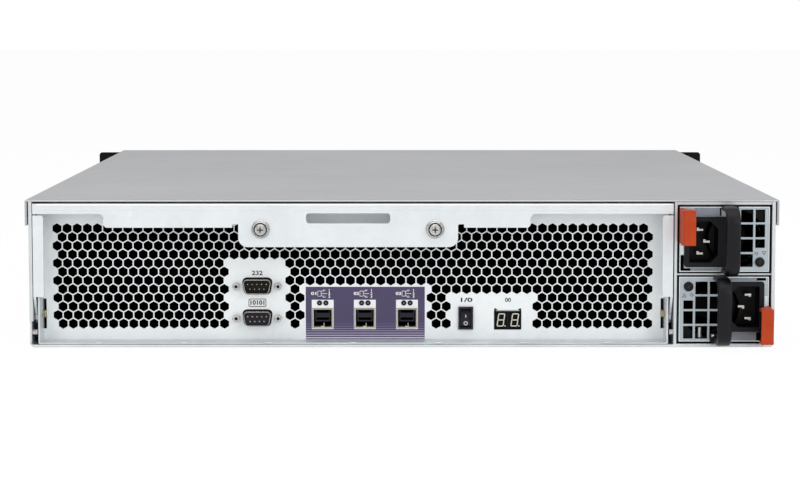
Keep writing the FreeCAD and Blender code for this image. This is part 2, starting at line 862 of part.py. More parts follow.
def make_face():
    """Perforated rear plate of the canister with its port openings and side notches."""
    plate = new_body("FacePlate")

    def sheet(drawing):
        drawing.oblong("inner_left", "inner_right", "face_low", "canister_top - canister_sheet")

    pad(plate, "FaceSheet", "XZ_Plane", "face_rear", "face_front", sheet)

    def openings(drawing):
        for up in ("serial_male_high", "serial_female_high"):
            half_wide, half_tall = "(serial_wide / 2 + 0.2)", "(serial_tall / 2 + 0.2)"
            drawing.outline(
                [
                    (f"serial_place - {half_wide} + serial_slope", f"{up} - {half_tall}"),
                    (f"serial_place + {half_wide} - serial_slope", f"{up} - {half_tall}"),
                    (f"serial_place + {half_wide}", f"{up} + {half_tall}"),
                    (f"serial_place - {half_wide}", f"{up} + {half_tall}"),
                ]
            )
        for number in range(3):
            left = f"host_first + {number} * host_pitch"
            right, high = f"{left} + host_wide + cage_fit", "host_low + host_tall + cage_fit"
            drawing.oblong(f"{left} - cage_fit", right, "host_low - cage_fit", high)
            for side in ("-", "+"):
                light = f"{left} + host_wide / 2 {side} light_pitch / 2"
                drawing.ring(light, "light_high", "light_radius + light_fit", 6)
        right, high = "display_left + display_wide", "display_low + display_tall"
        drawing.oblong("display_left - 0.1", f"{right} + 0.1", "display_low - 0.1", f"{high} + 0.1")
        right, high = "switch_left + switch_wide", "switch_low + switch_tall"
        drawing.oblong("switch_left + 0.6", f"{right} - 0.6", "switch_low + 0.6", f"{high} - 0.6")
        low, high = "notch_low", "notch_low + notch_high"
        drawing.oblong("inner_left - 1", "inner_left + notch_wide", low, high)
        drawing.oblong("inner_right - notch_wide", "inner_right + 1", low, high)

    pocket(plate, "FaceOpenings", "XZ_Plane", "face_rear - 1", "face_front + 1", openings)
    cells = doc.addObject("Part::Feature", "FaceCells")
    cells.Shape = comb_prisms(value("face_rear") - 1, value("face_front") + 1)
    return keep(cut("FacePierced", plate, cells), "canister_face")


def comb_prisms(rear, front):
    """Hexagonal prisms, points up, for every cell."""
    corner = (value("cell_pitch") - value("cell_wall")) / math.sqrt(3)
    turns = [math.radians(30 + 60 * step) for step in range(7)]
    prisms = []
    for across, up in comb_centres():
        ring = [VECTOR(across + corner * math.cos(a), rear, up + corner * math.sin(a)) for a in turns[:6]]
        face = Part.Face(Part.makePolygon(ring + ring[:1]))
        prisms.append(face.extrude(ALONG * (front - rear)))
    return Part.makeCompound(prisms)


def make_board():
    """Controller board on the canister's floor with its finned coolers, memory modules and rear connector."""
    low, high = "board_high", "board_high + board_thick"
    left, right = "inner_left + board_side_gap", "inner_right - board_side_gap"
    board = block("Board", left, right, "face_front + 2", "bay_front - 12", low, high)
    pieces = [board]
    coolers = [
        ("inner_left + cooler_a_side", "face_front + cooler_a_deep"),
        ("inner_left + cooler_b_side", "face_front + cooler_b_deep"),
    ]
    for number, (across, along) in enumerate(coolers):
        body = new_body(f"Cooler{number}")
        half = "cooler_wide / 2"

        def base(drawing, across=across, along=along):
            left, right = f"{across} - {half}", f"{across} + {half}"
            drawing.oblong(left, right, f"{along} - {half}", f"{along} + {half}")

        pad(body, f"CoolerBase{number}", "XY_Plane", high, f"{high} + cooler_base", base)

        def fin(drawing, across=across, along=along):
            left = f"{across} - {half}"
            drawing.oblong(left, f"{left} + fin_thick", f"{along} - {half}", f"{along} + {half}")

        foot = f"{high} + cooler_base - 0.1"
        fins = pad(body, f"CoolerFin{number}", "XY_Plane", foot, f"{high} + cooler_high", fin)
        doc.recompute()
        row = body.newObject("PartDesign::LinearPattern", f"CoolerFins{number}")
        row.Originals = [fins]
        row.Direction = (fins.Profile[0], ["H_Axis"])
        row.Occurrences = int(value("fin_count"))
        bind(row, Length="cooler_wide - fin_thick")
        body.Tip = row
        pieces.append(body)
    rear, front = "face_front + memory_rear", "face_front + memory_rear + memory_long"
    for number in range(4):
        left = f"inner_right - memory_side + {number} * memory_pitch"
        top = f"{high} + memory_high"
        pieces.append(block(f"Memory{number}", left, f"{left} + memory_wide", rear, front, high, top))
    left, right = "midplane_plug - board_plug_wide / 2", "midplane_plug + board_plug_wide / 2"
    rear, front = "bay_front - board_plug_deep", "bay_front - plug_gap"
    pieces.append(block("BoardPlug", left, right, rear, front, high, f"{high} + board_plug_high"))
    return keep(join("ControllerBoard", *pieces), "controller_board")


def serial_trapezium(up, skin):
    """Outline of a D-shaped shell, wide side up, set in by a skin."""
    wide, tall = f"(serial_wide / 2 - {skin})", f"(serial_tall / 2 - {skin})"
    return [
        (f"serial_place - {wide} + serial_slope", f"{up} - {tall}"),
        (f"serial_place + {wide} - serial_slope", f"{up} - {tall}"),
        (f"serial_place + {wide}", f"{up} + {tall}"),
        (f"serial_place - {wide}", f"{up} + {tall}"),
    ]


def make_serial_ports():
    """Two nine-way ports, one with pins and one with sockets, on one block behind the face."""
    pieces = []
    for tag, up in (("Male", "serial_male_high"), ("Female", "serial_female_high")):
        body = new_body(tag + "Port")
        rim = serial_trapezium(up, "0")
        mouth = "face_rear - serial_out"
        pad(body, tag + "Shell", "XZ_Plane", mouth, "face_front + 8", lambda d: d.outline(rim))
        deep = "face_rear - 0.5" if tag == "Male" else "face_rear - serial_out + 0.8"
        hollow = serial_trapezium(up, "serial_skin")
        pocket(
            body,
            tag + "Hollow",
            "XZ_Plane",
            "face_rear - serial_out - 1",
            deep,
            lambda d: d.outline(hollow),
        )
        if tag == "Female":

            def sockets(drawing, up=up):
                for count, lift in ((5, "+"), (4, "-")):
                    for place in range(count):
                        step = place - (count - 1) / 2
                        across = f"serial_place + {step} * serial_pin_pitch"
                        drawing.ring(across, f"{up} {lift} serial_row_pitch / 2", "0.55", 4)

            pocket(body, "FemaleSockets", "XZ_Plane", "face_rear - serial_out", "face_rear", sockets)
            pieces.append(body)
        else:

            def pins(drawing, up=up):
                for count, lift in ((5, "+"), (4, "-")):
                    for place in range(count):
                        step = place - (count - 1) / 2
                        across = f"serial_place + {step} * serial_pin_pitch"
                        drawing.ring(across, f"{up} {lift} serial_row_pitch / 2", "0.5", 4)

            pad(body, "MalePins", "XZ_Plane", "face_rear - serial_out + 1", "face_rear", pins)
            pieces.append(body)
    low = "board_high + board_thick"
    high = "serial_male_high + serial_tall / 2 + 2"
    left, right = "serial_place - 15.5", "serial_place + 15.5"
    pieces.append(block("SerialBlock", left, right, "face_front", "face_front + 12", low, high))
    return keep(join("SerialPorts", *pieces), "serial_ports")


def make_jackscrews():
    """Hexagonal standoffs: two beside each serial port, and a long one behind each captive screw."""
    pieces = []
    for row, up in enumerate(("serial_male_high", "serial_female_high")):
        for side in ("-", "+"):
            tag = f"Jack{row}{'A' if side == '-' else 'B'}"
            across = f"serial_place {side} jack_pitch / 2"
            outer = bar(tag + "Bar", 6, "jack_flats / 2 / cos(30)", "jack_out")
            put(outer, across, "face_rear - jack_out", up)
            bore = put(bar(tag + "Bore", 6, "jack_bore", "jack_out"), across, "face_rear - jack_out - 1", up)
            pieces.append(cut(tag, outer, bore))
    start = "rear + handle_sheet + post_gap"
    long = f"face_rear - ({start})"
    for number, across in enumerate(("screw_left", "screw_right")):
        outer = put(bar(f"Post{number}", 6, "post_radius", long), across, start, "screw_high")
        bore = bar(f"PostBore{number}", 8, "post_bore", f"{long} - 3")
        put(bore, across, f"{start} - 1", "screw_high")
        pieces.append(cut(f"PostHollow{number}", outer, bore))
    return keep(group("Jackscrews", *pieces), "jackscrews")


def make_host_ports():
    """Three square cages with a tongue inside, open to the rear."""
    pieces = []
    depth = "face_front + host_deep"
    for number in range(3):
        left = f"host_first + {number} * host_pitch"
        right, low, high = f"{left} + host_wide", "host_low", "host_low + host_tall"
        body = new_body(f"HostPort{number}")

        def shell(drawing, left=left, right=right, low=low, high=high):
            drawing.oblong(left, right, low, high)

        pad(body, f"HostShell{number}", "XZ_Plane", "face_rear - host_out", depth, shell)

        def hollow(drawing, left=left, right=right, low=low, high=high):
            skin = "host_skin"
            drawing.oblong(f"{left} + {skin}", f"{right} - {skin}", f"{low} + {skin}", f"{high} - {skin}")

        mouth = "face_rear - host_out - 1"
        pocket(body, f"HostHollow{number}", "XZ_Plane", mouth, f"{depth} - 2", hollow)
        for bar, up in enumerate(("host_low + 2.6", "host_low + 6.2")):

            def tongue(drawing, left=left, right=right, up=up):
                drawing.oblong(f"{left} + 0.2", f"{right} - 0.2", up, f"{up} + 1.4")

            pad(body, f"HostTongue{number}{bar}", "XZ_Plane", "face_rear + 1.5", f"{depth} - 1", tongue)
        pieces.append(body)
    return keep(group("HostPorts", *pieces), "host_ports")


def make_port_lights():
    """Two light pipes above each host port, through the face."""
    pipes = []
    for number in range(3):
        for tag, side in (("A", "-"), ("B", "+")):
            across = f"host_first + {number} * host_pitch + host_wide / 2 {side} light_pitch / 2"
            pipe = bar(f"Light{number}{tag}", 6, "light_radius", "light_out + face_thick + light_deep")
            pipes.append(put(pipe, across, "face_rear - light_out", "light_high"))
    return keep(group("PortLights", *pipes), "port_lights")


def make_display():
    """Two-digit display behind a flush window."""
    body = new_body("Display")

    def case(drawing):
        right, high = "display_left + display_wide", "display_low + display_tall"
        drawing.oblong("display_left", right, "display_low", high)

    pad(body, "DisplayCase", "XZ_Plane", "face_rear - 0.3", "face_front + display_deep", case)
    corners = [
        ("display_left", "display_low"),
        ("display_left + display_wide", "display_low"),
        ("display_left + display_wide", "display_low + display_tall"),
        ("display_left", "display_low + display_tall"),
    ]
    bevel(body, "DisplayCorners", "XZ_Plane", corners, "0.4")
    return keep(body, "display_module")


def make_switch():
    """Bezel and body of the rocker switch, hollow where the rocker sits."""
    body = new_body("Switch")
    right, high = "switch_left + switch_wide", "switch_low + switch_tall"

    def bezel(drawing):
        drawing.oblong("switch_left", right, "switch_low", high)

    def barrel(drawing):
        drawing.oblong("switch_left + 0.8", f"{right} - 0.8", "switch_low + 0.8", f"{high} - 0.8")

    pad(body, "SwitchBezel", "XZ_Plane", "face_rear - 1.5", "face_rear", bezel)
    pad(body, "SwitchBarrel", "XZ_Plane", "face_rear - 0.5", "face_front + switch_deep", barrel)

    def well(drawing):
        drawing.oblong("rocker_left - 0.3", "rocker_right + 0.3", "rocker_low - 0.3", "rocker_high + 0.3")

    pocket(body, "SwitchWell", "XZ_Plane", "face_rear - 3", "face_rear + 9", well)
    return keep(body, "switch_housing")


def make_rocker():
    """Rocker whose lower half is pressed in: a bar with a bent face that turns on its middle."""
    body = new_body("Rocker")
    middle = "(rocker_low + rocker_high) / 2"
    face_side = [(2.6, -2), (0.6, -5.2), (-1.9, -4.9), (-2.4, -0.8)]
    back_side = [(-4.6, 2.8), (-1.6, 5.1), (0.6, 5.2), (2.6, 2)]
    profile = [(f"rocker_pivot + {y}", f"{middle} + {up}") for y, up in face_side + back_side]
    pad(body, "RockerBar", "YZ_Plane", "rocker_left", "rocker_right", lambda d: d.outline(profile))
    return keep(body, "power_rocker")


def make_rivets():
    """Pivot studs set on the canister's walls, flush with the handle's feet."""
    studs = []
    for tag, start in (("Left", "canister_left - pivot_reach"), ("Right", "canister_right")):
        stud = bar("Stud" + tag, 12, "pivot_radius", "pivot_reach", LIE_ACROSS)
        studs.append(put(stud, start, "pivot_place", "pivot_high"))
    return keep(group("PivotRivets", *studs), "pivot_rivets")


# Ejector handle and its screws


def make_handle():
    """Bent-sheet bail: a front bar with three tabs, two arms beside it, and side plates to the pivots."""
    body = new_body("EjectorHandle")
    relief_left = "middle_left - relief_wide"
    relief_right = "middle_right + relief_wide"
    panel = [
        ("handle_left", "handle_high"),
        ("handle_left", "bar_low"),
        ("tab_left_out", "bar_low"),
        ("tab_left_out", "tab_low"),
        (relief_left, "tab_low"),
        (relief_left, "tab_low + relief_high"),
        ("middle_left", "tab_low + relief_high"),
        ("middle_left", "middle_low"),
        ("middle_right", "middle_low"),
        ("middle_right", "tab_low + relief_high"),
        (relief_right, "tab_low + relief_high"),
        (relief_right, "tab_low"),
        ("tab_right_out", "tab_low"),
        ("tab_right_out", "bar_low"),
        ("handle_right", "bar_low"),
        ("handle_right", "handle_high"),
    ]
    pad(body, "HandlePanel", "XZ_Plane", "handle_rear", "handle_front", lambda d: d.outline(panel))
    round_off(body, "MiddleTabCorners", "XZ_Plane", [panel[7], panel[8]], "tab_round")
    bevel(body, "TabCorners", "XZ_Plane", [panel[3], panel[12]], "tab_round / 4")
    bevel(body, "TabFillets", "XZ_Plane", [panel[2], panel[13]], "tab_round / 3")

    def arms(drawing):
        drawing.oblong("handle_left", "handle_left + arm_wide", "arm_low", "arm_high")
        drawing.oblong("handle_right - arm_wide", "handle_right", "arm_low", "arm_high")

    sides = [
        ("handle_rear", "handle_high - handle_sheet"),
        ("handle_rear", "arm_low"),
        ("pivot_place - foot_round", "pivot_high"),
        ("pivot_place + foot_round", "pivot_high"),
        ("pivot_place + foot_round", "pivot_high + 3"),
        ("handle_rear + side_deep", "arm_low + 6"),
        ("handle_rear + side_deep", "handle_high - 12"),
        ("handle_rear + top_fold", "handle_high - handle_sheet"),
    ]
    for tag, left, right in (
        ("Left", "handle_left", "handle_left + handle_sheet"),
        ("Right", "handle_right - handle_sheet", "handle_right"),
    ):
        pad(body, f"Side{tag}", "YZ_Plane", left, right, lambda d: d.outline(sides))

        def foot(drawing):
            drawing.ring("pivot_place", "pivot_high", "foot_round")

        pad(body, f"Foot{tag}", "YZ_Plane", left, right, foot)
    pad(body, "HandleArms", "XZ_Plane", "handle_rear", "handle_front", arms)
    inner = [("handle_left + arm_wide", "arm_low"), ("handle_left + arm_wide", "arm_high")]
    inner += [("handle_right - arm_wide", "arm_low"), ("handle_right - arm_wide", "arm_high")]
    bevel(body, "ArmCorners", "XZ_Plane", inner, "arm_round / 2")
    fold = [
        ("handle_left + relief_wide", "handle_rear"),
        ("handle_right - relief_wide", "handle_rear"),
        ("handle_right - relief_wide - 2", "handle_rear + top_fold"),
        ("handle_left + relief_wide + 2", "handle_rear + top_fold"),
    ]
    pad(body, "TopFold", "XY_Plane", "handle_high - handle_sheet", "handle_high", lambda d: d.outline(fold))

    def slits(drawing):
        drawing.oblong("handle_left - 1", "handle_left + arm_wide + 1", "arm_high", "bar_low")
        drawing.oblong("handle_right - arm_wide - 1", "handle_right + 1", "arm_high", "bar_low")

    pocket(body, "ArmSlits", "XZ_Plane", "handle_rear - 1", "handle_rear + handle_sheet + 1", slits)

    def finger(drawing):
        drawing.oblong("finger_left", "finger_right", "finger_low", "finger_high")

    pocket(body, "FingerSlot", "XZ_Plane", "handle_rear - 1", "handle_front + 1", finger)
    corners = [("finger_left", "finger_low"), ("finger_right", "finger_low")]
    corners += [("finger_left", "finger_high"), ("finger_right", "finger_high")]
    round_off(body, "FingerCorners", "XZ_Plane", corners, "finger_round")

    def pivots(drawing):
        drawing.circle("pivot_place", "pivot_high", "pivot_radius + pivot_fit")

    pocket(body, "HandlePivots", "YZ_Plane", "handle_left - 1", "handle_right + 1", pivots)

    def sleeves(drawing):
        for across in ("screw_left", "screw_right"):
            drawing.ring(across, "screw_high", "screw_head + head_gap + sleeve_wall")

    def bores(drawing):
        for across in ("screw_left", "screw_right"):
            drawing.ring(across, "screw_high", "screw_head + head_gap")

    def holes(drawing):
        for across in ("screw_left", "screw_right"):
            drawing.ring(across, "screw_high", "screw_shank + head_gap", 8)

    pad(body, "Sleeves", "XZ_Plane", "handle_rear - sleeve_out", "handle_rear", sleeves)
    pocket(body, "SleeveBores", "XZ_Plane", "handle_rear - sleeve_out - 1", "handle_rear", bores)
    pocket(body, "ScrewHoles", "XZ_Plane", "handle_rear - 1", "handle_front + 1", holes)
    return keep(body, "ejector_handle")


def make_captive_screw(name, across):
    """Screw held in its sleeve: a head with a cross recess and a shank through the tab."""
    head_rear = "handle_rear - screw_out"
    head = put(bar(name + "Head", 12, "screw_head", "screw_out - 0.4"), across, head_rear, "screw_high")
    neck = bar(name + "Neck", 8, "screw_shank", "screw_tip + 0.5")
    put(neck, across, "handle_rear - 0.5", "screw_high")
    start, deep = f"{head_rear} - 1", f"{head_rear} + 1.6"
    arm, half = "screw_head * 0.58", "screw_head * 0.13"
    bounds_level = (f"{across} - {arm}", f"{across} + {arm}", start, deep)
    bounds_upright = (f"{across} - {half}", f"{across} + {half}", start, deep)
    level = block(name + "CrossLevel", *bounds_level, f"screw_high - {half}", f"screw_high + {half}")
    upright = block(name + "CrossUpright", *bounds_upright, f"screw_high - {arm}", f"screw_high + {arm}")
    recessed = cut(name + "Recessed", head, level, upright)
    return keep(join(name + "Whole", recessed, neck), name)


# Power supplies. The upper one is the lower one turned over about the bay's middle line.


# Grille windows: columns and rows, each a low and a high edge measured from the supply's left and bottom.
GRILLE_COLUMNS = [
    ("supply_left + grille_edge", "supply_left + grille_edge + grille_narrow"),
    ("supply_left + grille_second", "supply_left + grille_second + grille_window"),
    (
        "supply_left + grille_second + grille_window + grille_bar",
        "supply_left + grille_second + 2 * grille_window + grille_bar",
    ),
]
GRILLE_ROWS = 4


def make_supply_case():
    """Folded case with a pierced rear panel, openings for inlet and latch, and a status light dome."""
    body = new_body("SupplyCase")
    rear, front = "supply_rear", "bay_front"
    left, right, low, high = "supply_left", "supply_right", "supply_low", "supply_low + supply_high"
    pad(body, "CaseBlock", "XZ_Plane", rear, front, lambda d: d.oblong(left, right, low, high))
    corners = [(left, low), (right, low), (right, high), (left, high)]
    bevel(body, "CaseBends", "XZ_Plane", corners, "supply_sheet * 0.6")

    def hollow(drawing):
        skin = "supply_sheet"
        drawing.oblong(f"{left} + {skin}", f"{right} - {skin}", f"{low} + {skin}", f"{high} - {skin}")

    pocket(body, "CaseHollow", "XZ_Plane", f"{rear} + grille_sheet", f"{front} - supply_sheet", hollow)

    def windows(drawing):
        pitch = "(grille_window_high + grille_bar)"
        for column, (left_edge, right_edge) in enumerate(GRILLE_COLUMNS):
            for row in range(GRILLE_ROWS):
                if column == 0 and row == GRILLE_ROWS - 1:
                    continue
                sill = f"supply_low + grille_foot + {row} * {pitch}"
                short = " * 0.68" if column == 0 and row == GRILLE_ROWS - 2 else ""
                drawing.oblong(left_edge, right_edge, sill, f"{sill} + grille_window_high{short}")

    pocket(body, "CaseGrille", "XZ_Plane", f"{rear} - 1", f"{rear} + grille_sheet + 1", windows)

    def inlet_hole(drawing):
        left, low = "supply_left + inlet_left", "supply_low + inlet_low"
        edge = "inlet_edge"
        drawing.oblong(
            f"{left} + {edge} - 0.1",
            f"{left} + inlet_wide - {edge} + 0.1",
            f"{low} + {edge} - 0.1",
            f"{low} + inlet_tall - {edge} + 0.1",
        )

    pocket(body, "CaseInletHole", "XZ_Plane", f"{rear} - 1", f"{rear} + grille_sheet + 1", inlet_hole)

    def latch_hole(drawing):
        foot = "supply_low + latch_low"
        side = "latch_face - latch_skin - 0.9"
        drawing.oblong(side, f"{right} + 1", f"{foot} - 0.4", f"{foot} + latch_tall + 0.4")

    pocket(body, "CaseLatchHole", "XZ_Plane", f"{rear} - 1", f"{rear} + latch_back + 2.4", latch_hole)

    def frame(drawing):
        half = "(fan_radius + fan_gap + 0.7)"
        sill, head = "supply_low + supply_sheet", f"{high} - supply_sheet"
        drawing.oblong(f"fan_across - {half}", f"fan_across + {half}", sill, head)

    def bore(drawing):
        drawing.circle("fan_across", "fan_up", "fan_radius + fan_gap")

    frame_rear = f"{rear} + fan_behind - 2"
    frame_front = f"{rear} + fan_behind + fan_deep + 2"
    pad(body, "FanFrame", "XZ_Plane", frame_rear, frame_front, frame)
    pocket(body, "FanBore", "XZ_Plane", frame_rear, frame_front, bore)

    def strut(drawing):
        sill, head = "supply_low + supply_sheet", f"{high} - supply_sheet"
        drawing.oblong("fan_across - 1.2", "fan_across + 1.2", sill, head)

    def axle(drawing):
        drawing.ring("fan_across", "fan_up", "fan_axle", 8)

    pad(body, "FanStrut", "XZ_Plane", f"{frame_front} - 1.2", frame_front, strut)
    pad(body, "FanAxle", "XZ_Plane", f"{rear} + fan_behind + 3", f"{frame_front} - 1", axle)

    def lamp(drawing):
        drawing.ring("supply_left + lamp_across", f"{high} - lamp_drop", "lamp_radius", 8)

    pad(body, "StatusDome", "XZ_Plane", f"{rear} - 1.5", f"{rear} + 0.5", lamp)
    return body


def make_inlet():
    """Mains inlet: a flange, a body, a socket with two cut corners, and three blades."""
    body = new_body("Inlet")
    left, low = "supply_left + inlet_left", "supply_low + inlet_low"
    right, high = f"{left} + inlet_wide", f"{low} + inlet_tall"
    edge = "inlet_edge"
    rear = "supply_rear"
    flange_rear = f"{rear} - inlet_out"
    pad(body, "InletFlange", "XZ_Plane", flange_rear, rear, lambda d: d.oblong(left, right, low, high))
    bevel(body, "InletCorners", "XZ_Plane", [(left, low), (right, low), (right, high), (left, high)], "0.8")

    def barrel(drawing):
        drawing.oblong(f"{left} + {edge}", f"{right} - {edge}", f"{low} + {edge}", f"{high} - {edge}")

    pad(body, "InletBarrel", "XZ_Plane", f"{rear} - 0.5", f"{rear} + inlet_deep", barrel)
    centre, middle = "socket_across", f"({low} + inlet_tall / 2)"
    half, tall = "socket_wide / 2", "socket_tall / 2"

    def socket(drawing):
        drawing.outline(
            [
                (f"{centre} - {half}", f"{middle} - {tall} + socket_corner"),
                (f"{centre} - {half} + socket_corner", f"{middle} - {tall}"),
                (f"{centre} + {half}", f"{middle} - {tall}"),
                (f"{centre} + {half}", f"{middle} + {tall}"),
                (f"{centre} - {half} + socket_corner", f"{middle} + {tall}"),
                (f"{centre} - {half}", f"{middle} + {tall} - socket_corner"),
            ]
        )

    pocket(body, "Socket", "XZ_Plane", f"{rear} - inlet_out - 1", f"{rear} + inlet_deep - 2", socket)

    def blades(drawing):
        places_of = [
            (f"{centre} - blade_offset", middle),
            (f"{centre} + blade_offset", f"{middle} - blade_pitch"),
            (f"{centre} + blade_offset", f"{middle} + blade_pitch"),
        ]
        for across, up in places_of:
            wide, thick = "blade_wide / 2", "blade_thick / 2"
            drawing.oblong(f"{across} - {wide}", f"{across} + {wide}", f"{up} - {thick}", f"{up} + {thick}")

    pad(body, "Blades", "XZ_Plane", f"{rear} + 1", f"{rear} + inlet_deep - 1", blades)
    return body


def make_grip():
    """Moulded D-shaped pull handle that stands on the supply's rear panel."""
    body = new_body("Grip")
    rear, low, high = "supply_rear", "supply_low", "supply_low + supply_high"
    left, right = "supply_left + grip_place - grip_wide / 2", "supply_left + grip_place + grip_wide / 2"
    shape = [
        (f"{rear} - grip_out", low),
        (rear, low),
        (rear, f"{low} + grip_leg"),
        (f"{rear} - grip_out + grip_bar", f"{low} + grip_leg"),
        (f"{rear} - grip_out + grip_bar", f"{high} - grip_leg"),
        (rear, f"{high} - grip_leg"),
        (rear, high),
        (f"{rear} - grip_out", high),
    ]
    pad(body, "GripBow", "YZ_Plane", left, right, lambda d: d.outline(shape))
    bevel(body, "GripInside", "YZ_Plane", [shape[3], shape[4]], "grip_round * 0.5")
    round_off(body, "GripOutside", "YZ_Plane", [shape[0], shape[7]], "grip_round * 1.3")
    return body


def make_latch():
    """Orange release latch: an outer wall that hinges in the case, a front plate and two short flanges."""
    body = new_body("Latch")
    tip = "(supply_rear - latch_out)"
    face = "latch_face"
    plan = [
        (face, tip),
        (face, "latch_pivot_along + 1.2"),
        (f"{face} - latch_skin", "latch_pivot_along + 1.2"),
        (f"{face} - latch_skin", f"{tip} + latch_skin"),
        (f"{face} - latch_wide", f"{tip} + latch_skin"),
        (f"{face} - latch_wide", tip),
    ]
    flange = [
        (face, tip),
        (face, "supply_rear - inlet_out - 1"),
        (f"{face} - latch_skin - 0.5", "supply_rear - inlet_out - 1"),
        (f"{face} - latch_wide", f"{tip} + 9"),
        (f"{face} - latch_wide", tip),
    ]
    low, high = "supply_low + latch_low", "supply_low + latch_low + latch_tall"
    pad(body, "LatchSheet", "XY_Plane", low, high, lambda d: d.outline(plan))
    pad(body, "LatchLowFlange", "XY_Plane", low, f"{low} + latch_skin", lambda d: d.outline(flange))
    pad(body, "LatchHighFlange", "XY_Plane", f"{high} - latch_skin", high, lambda d: d.outline(flange))
    bevel(body, "LatchCorner", "XY_Plane", [(face, tip)], "latch_skin * 0.6")
    return body


def make_rotor():
    """Fan rotor: a cup-shaped hub and seven slanted blades."""
    hub = new_body("RotorHub")
    rear = "supply_rear + fan_behind"

    def outside(drawing):
        drawing.ring("fan_across", "fan_up", "fan_hub", 2 * BLADES)

    def bore(drawing):
        drawing.ring("fan_across", "fan_up", "(fan_axle + pivot_fit) / cos(22.5)", 8)

    pad(hub, "HubOutside", "XZ_Plane", rear, f"{rear} + fan_deep - 4", outside)
    pocket(hub, "HubBore", "XZ_Plane", f"{rear} + 2", f"{rear} + fan_deep", bore)
    reach = "(fan_radius ^ 2 - (blade_chord / 2 * sin(blade_lean)) ^ 2) ^ 0.5"
    blades = []
    for step in range(BLADES):
        blade = doc.addObject("Part::Box", f"Blade{step}")
        bind(blade, Length="rotor_blade_thick", Width="blade_chord", Height=f"{reach} - fan_hub + 0.8 - 0.1")
        lean = FreeCAD.Rotation(UP, value("blade_lean"))
        turn = FreeCAD.Rotation(ALONG, 360 / BLADES * step)
        corner = VECTOR(-value("rotor_blade_thick") / 2, -value("blade_chord") / 2, 0)
        offset = turn.multVec(lean.multVec(corner) + VECTOR(0, 0, value("fan_hub") - 0.8))
        blade.Placement = FreeCAD.Placement(VECTOR(), turn.multiply(lean))
        middle = f"{rear} + (fan_deep - 4) / 2 + ({offset.y:.6f})"
        put(blade, f"fan_across + ({offset.x:.6f})", middle, f"fan_up + ({offset.z:.6f})")
        blades.append(blade)
    return join("Rotor", hub, *blades)


BLADES = 7


def turned_over(name, source):
    """The same piece in the upper supply, turned half round about the bay's middle line."""
    piece = group(name, source)
    piece.Placement = FreeCAD.Placement(VECTOR(), FreeCAD.Rotation(ALONG, 180))
    across = "2 * (supply_left + supply_wide / 2)"
    return put(piece, across, "0", "2 * (bay_shelf_place + bay_shelf_thick / 2)")


def make_supplies():
    makers = {
        "case": make_supply_case,
        "inlet": make_inlet,
        "grip": make_grip,
        "latch": make_latch,
        "fan_rotor": make_rotor,
    }
    for name, maker in makers.items():
        lower = keep(maker(), "psu_lower_" + name)
        doc.recompute()
        keep(turned_over("Upper_" + name, lower), "psu_upper_" + name)


# Midplane and drive bay


def column_left(column):
    return f"-wall_in + {column} * column_wide"


def row_low(row):
    return f"floor_thick + {row} * row_high"


def columns():
    return range(int(value("drive_columns")))


def rows():
    return range(int(value("drive_rows")))


def make_midplane():
    """Upright board with air windows, a receptacle for each drive, and three for what plugs in behind."""
    body = new_body("Midplane")

    def board(drawing):
        margin = "midplane_margin"
        drawing.oblong(f"-wall_in + {margin}", f"wall_in - {margin}", "floor_thick", "tray_top")

    pad(body, "MidplaneBoard", "XZ_Plane", "midplane_rear", "midplane_front", board)

    def windows(drawing):
        for column in columns():
            left = f"{column_left(column)} + plug_wide + 2 * plug_side"
            right = f"{column_left(column + 1)} - plug_side"
            drawing.oblong(left, right, "floor_thick + window_foot", "tray_top - window_foot")

    pocket(body, "MidplaneWindows", "XZ_Plane", "midplane_rear - 1", "midplane_front + 1", windows)

    def drive_plugs(drawing):
        for column in columns():
            for row in rows():
                left = f"{column_left(column)} + plug_side"
                low = f"{row_low(row)} + plug_foot"
                drawing.oblong(left, f"{left} + plug_wide", low, f"{low} + plug_high")

    pad(body, "DrivePlugs", "XZ_Plane", "midplane_front", "sled_rear - seat_gap", drive_plugs)

    def rear_plugs(drawing):
        wide = "midplane_plug_wide / 2"
        low = "board_high + board_thick"
        drawing.oblong(f"midplane_plug - {wide}", f"midplane_plug + {wide}", low, f"{low} + 14")
        centre = "supply_left + supply_wide / 2"
        lower = "supply_low + supply_high / 2"
        for middle in (lower, f"2 * bay_shelf_place + bay_shelf_thick - ({lower})"):
            drawing.oblong(f"{centre} - 18", f"{centre} + 18", f"{middle} - 6", f"{middle} + 6")

    pad(body, "RearPlugs", "XZ_Plane", "plug_rear", "midplane_rear", rear_plugs)
    return keep(body, "midplane_board")


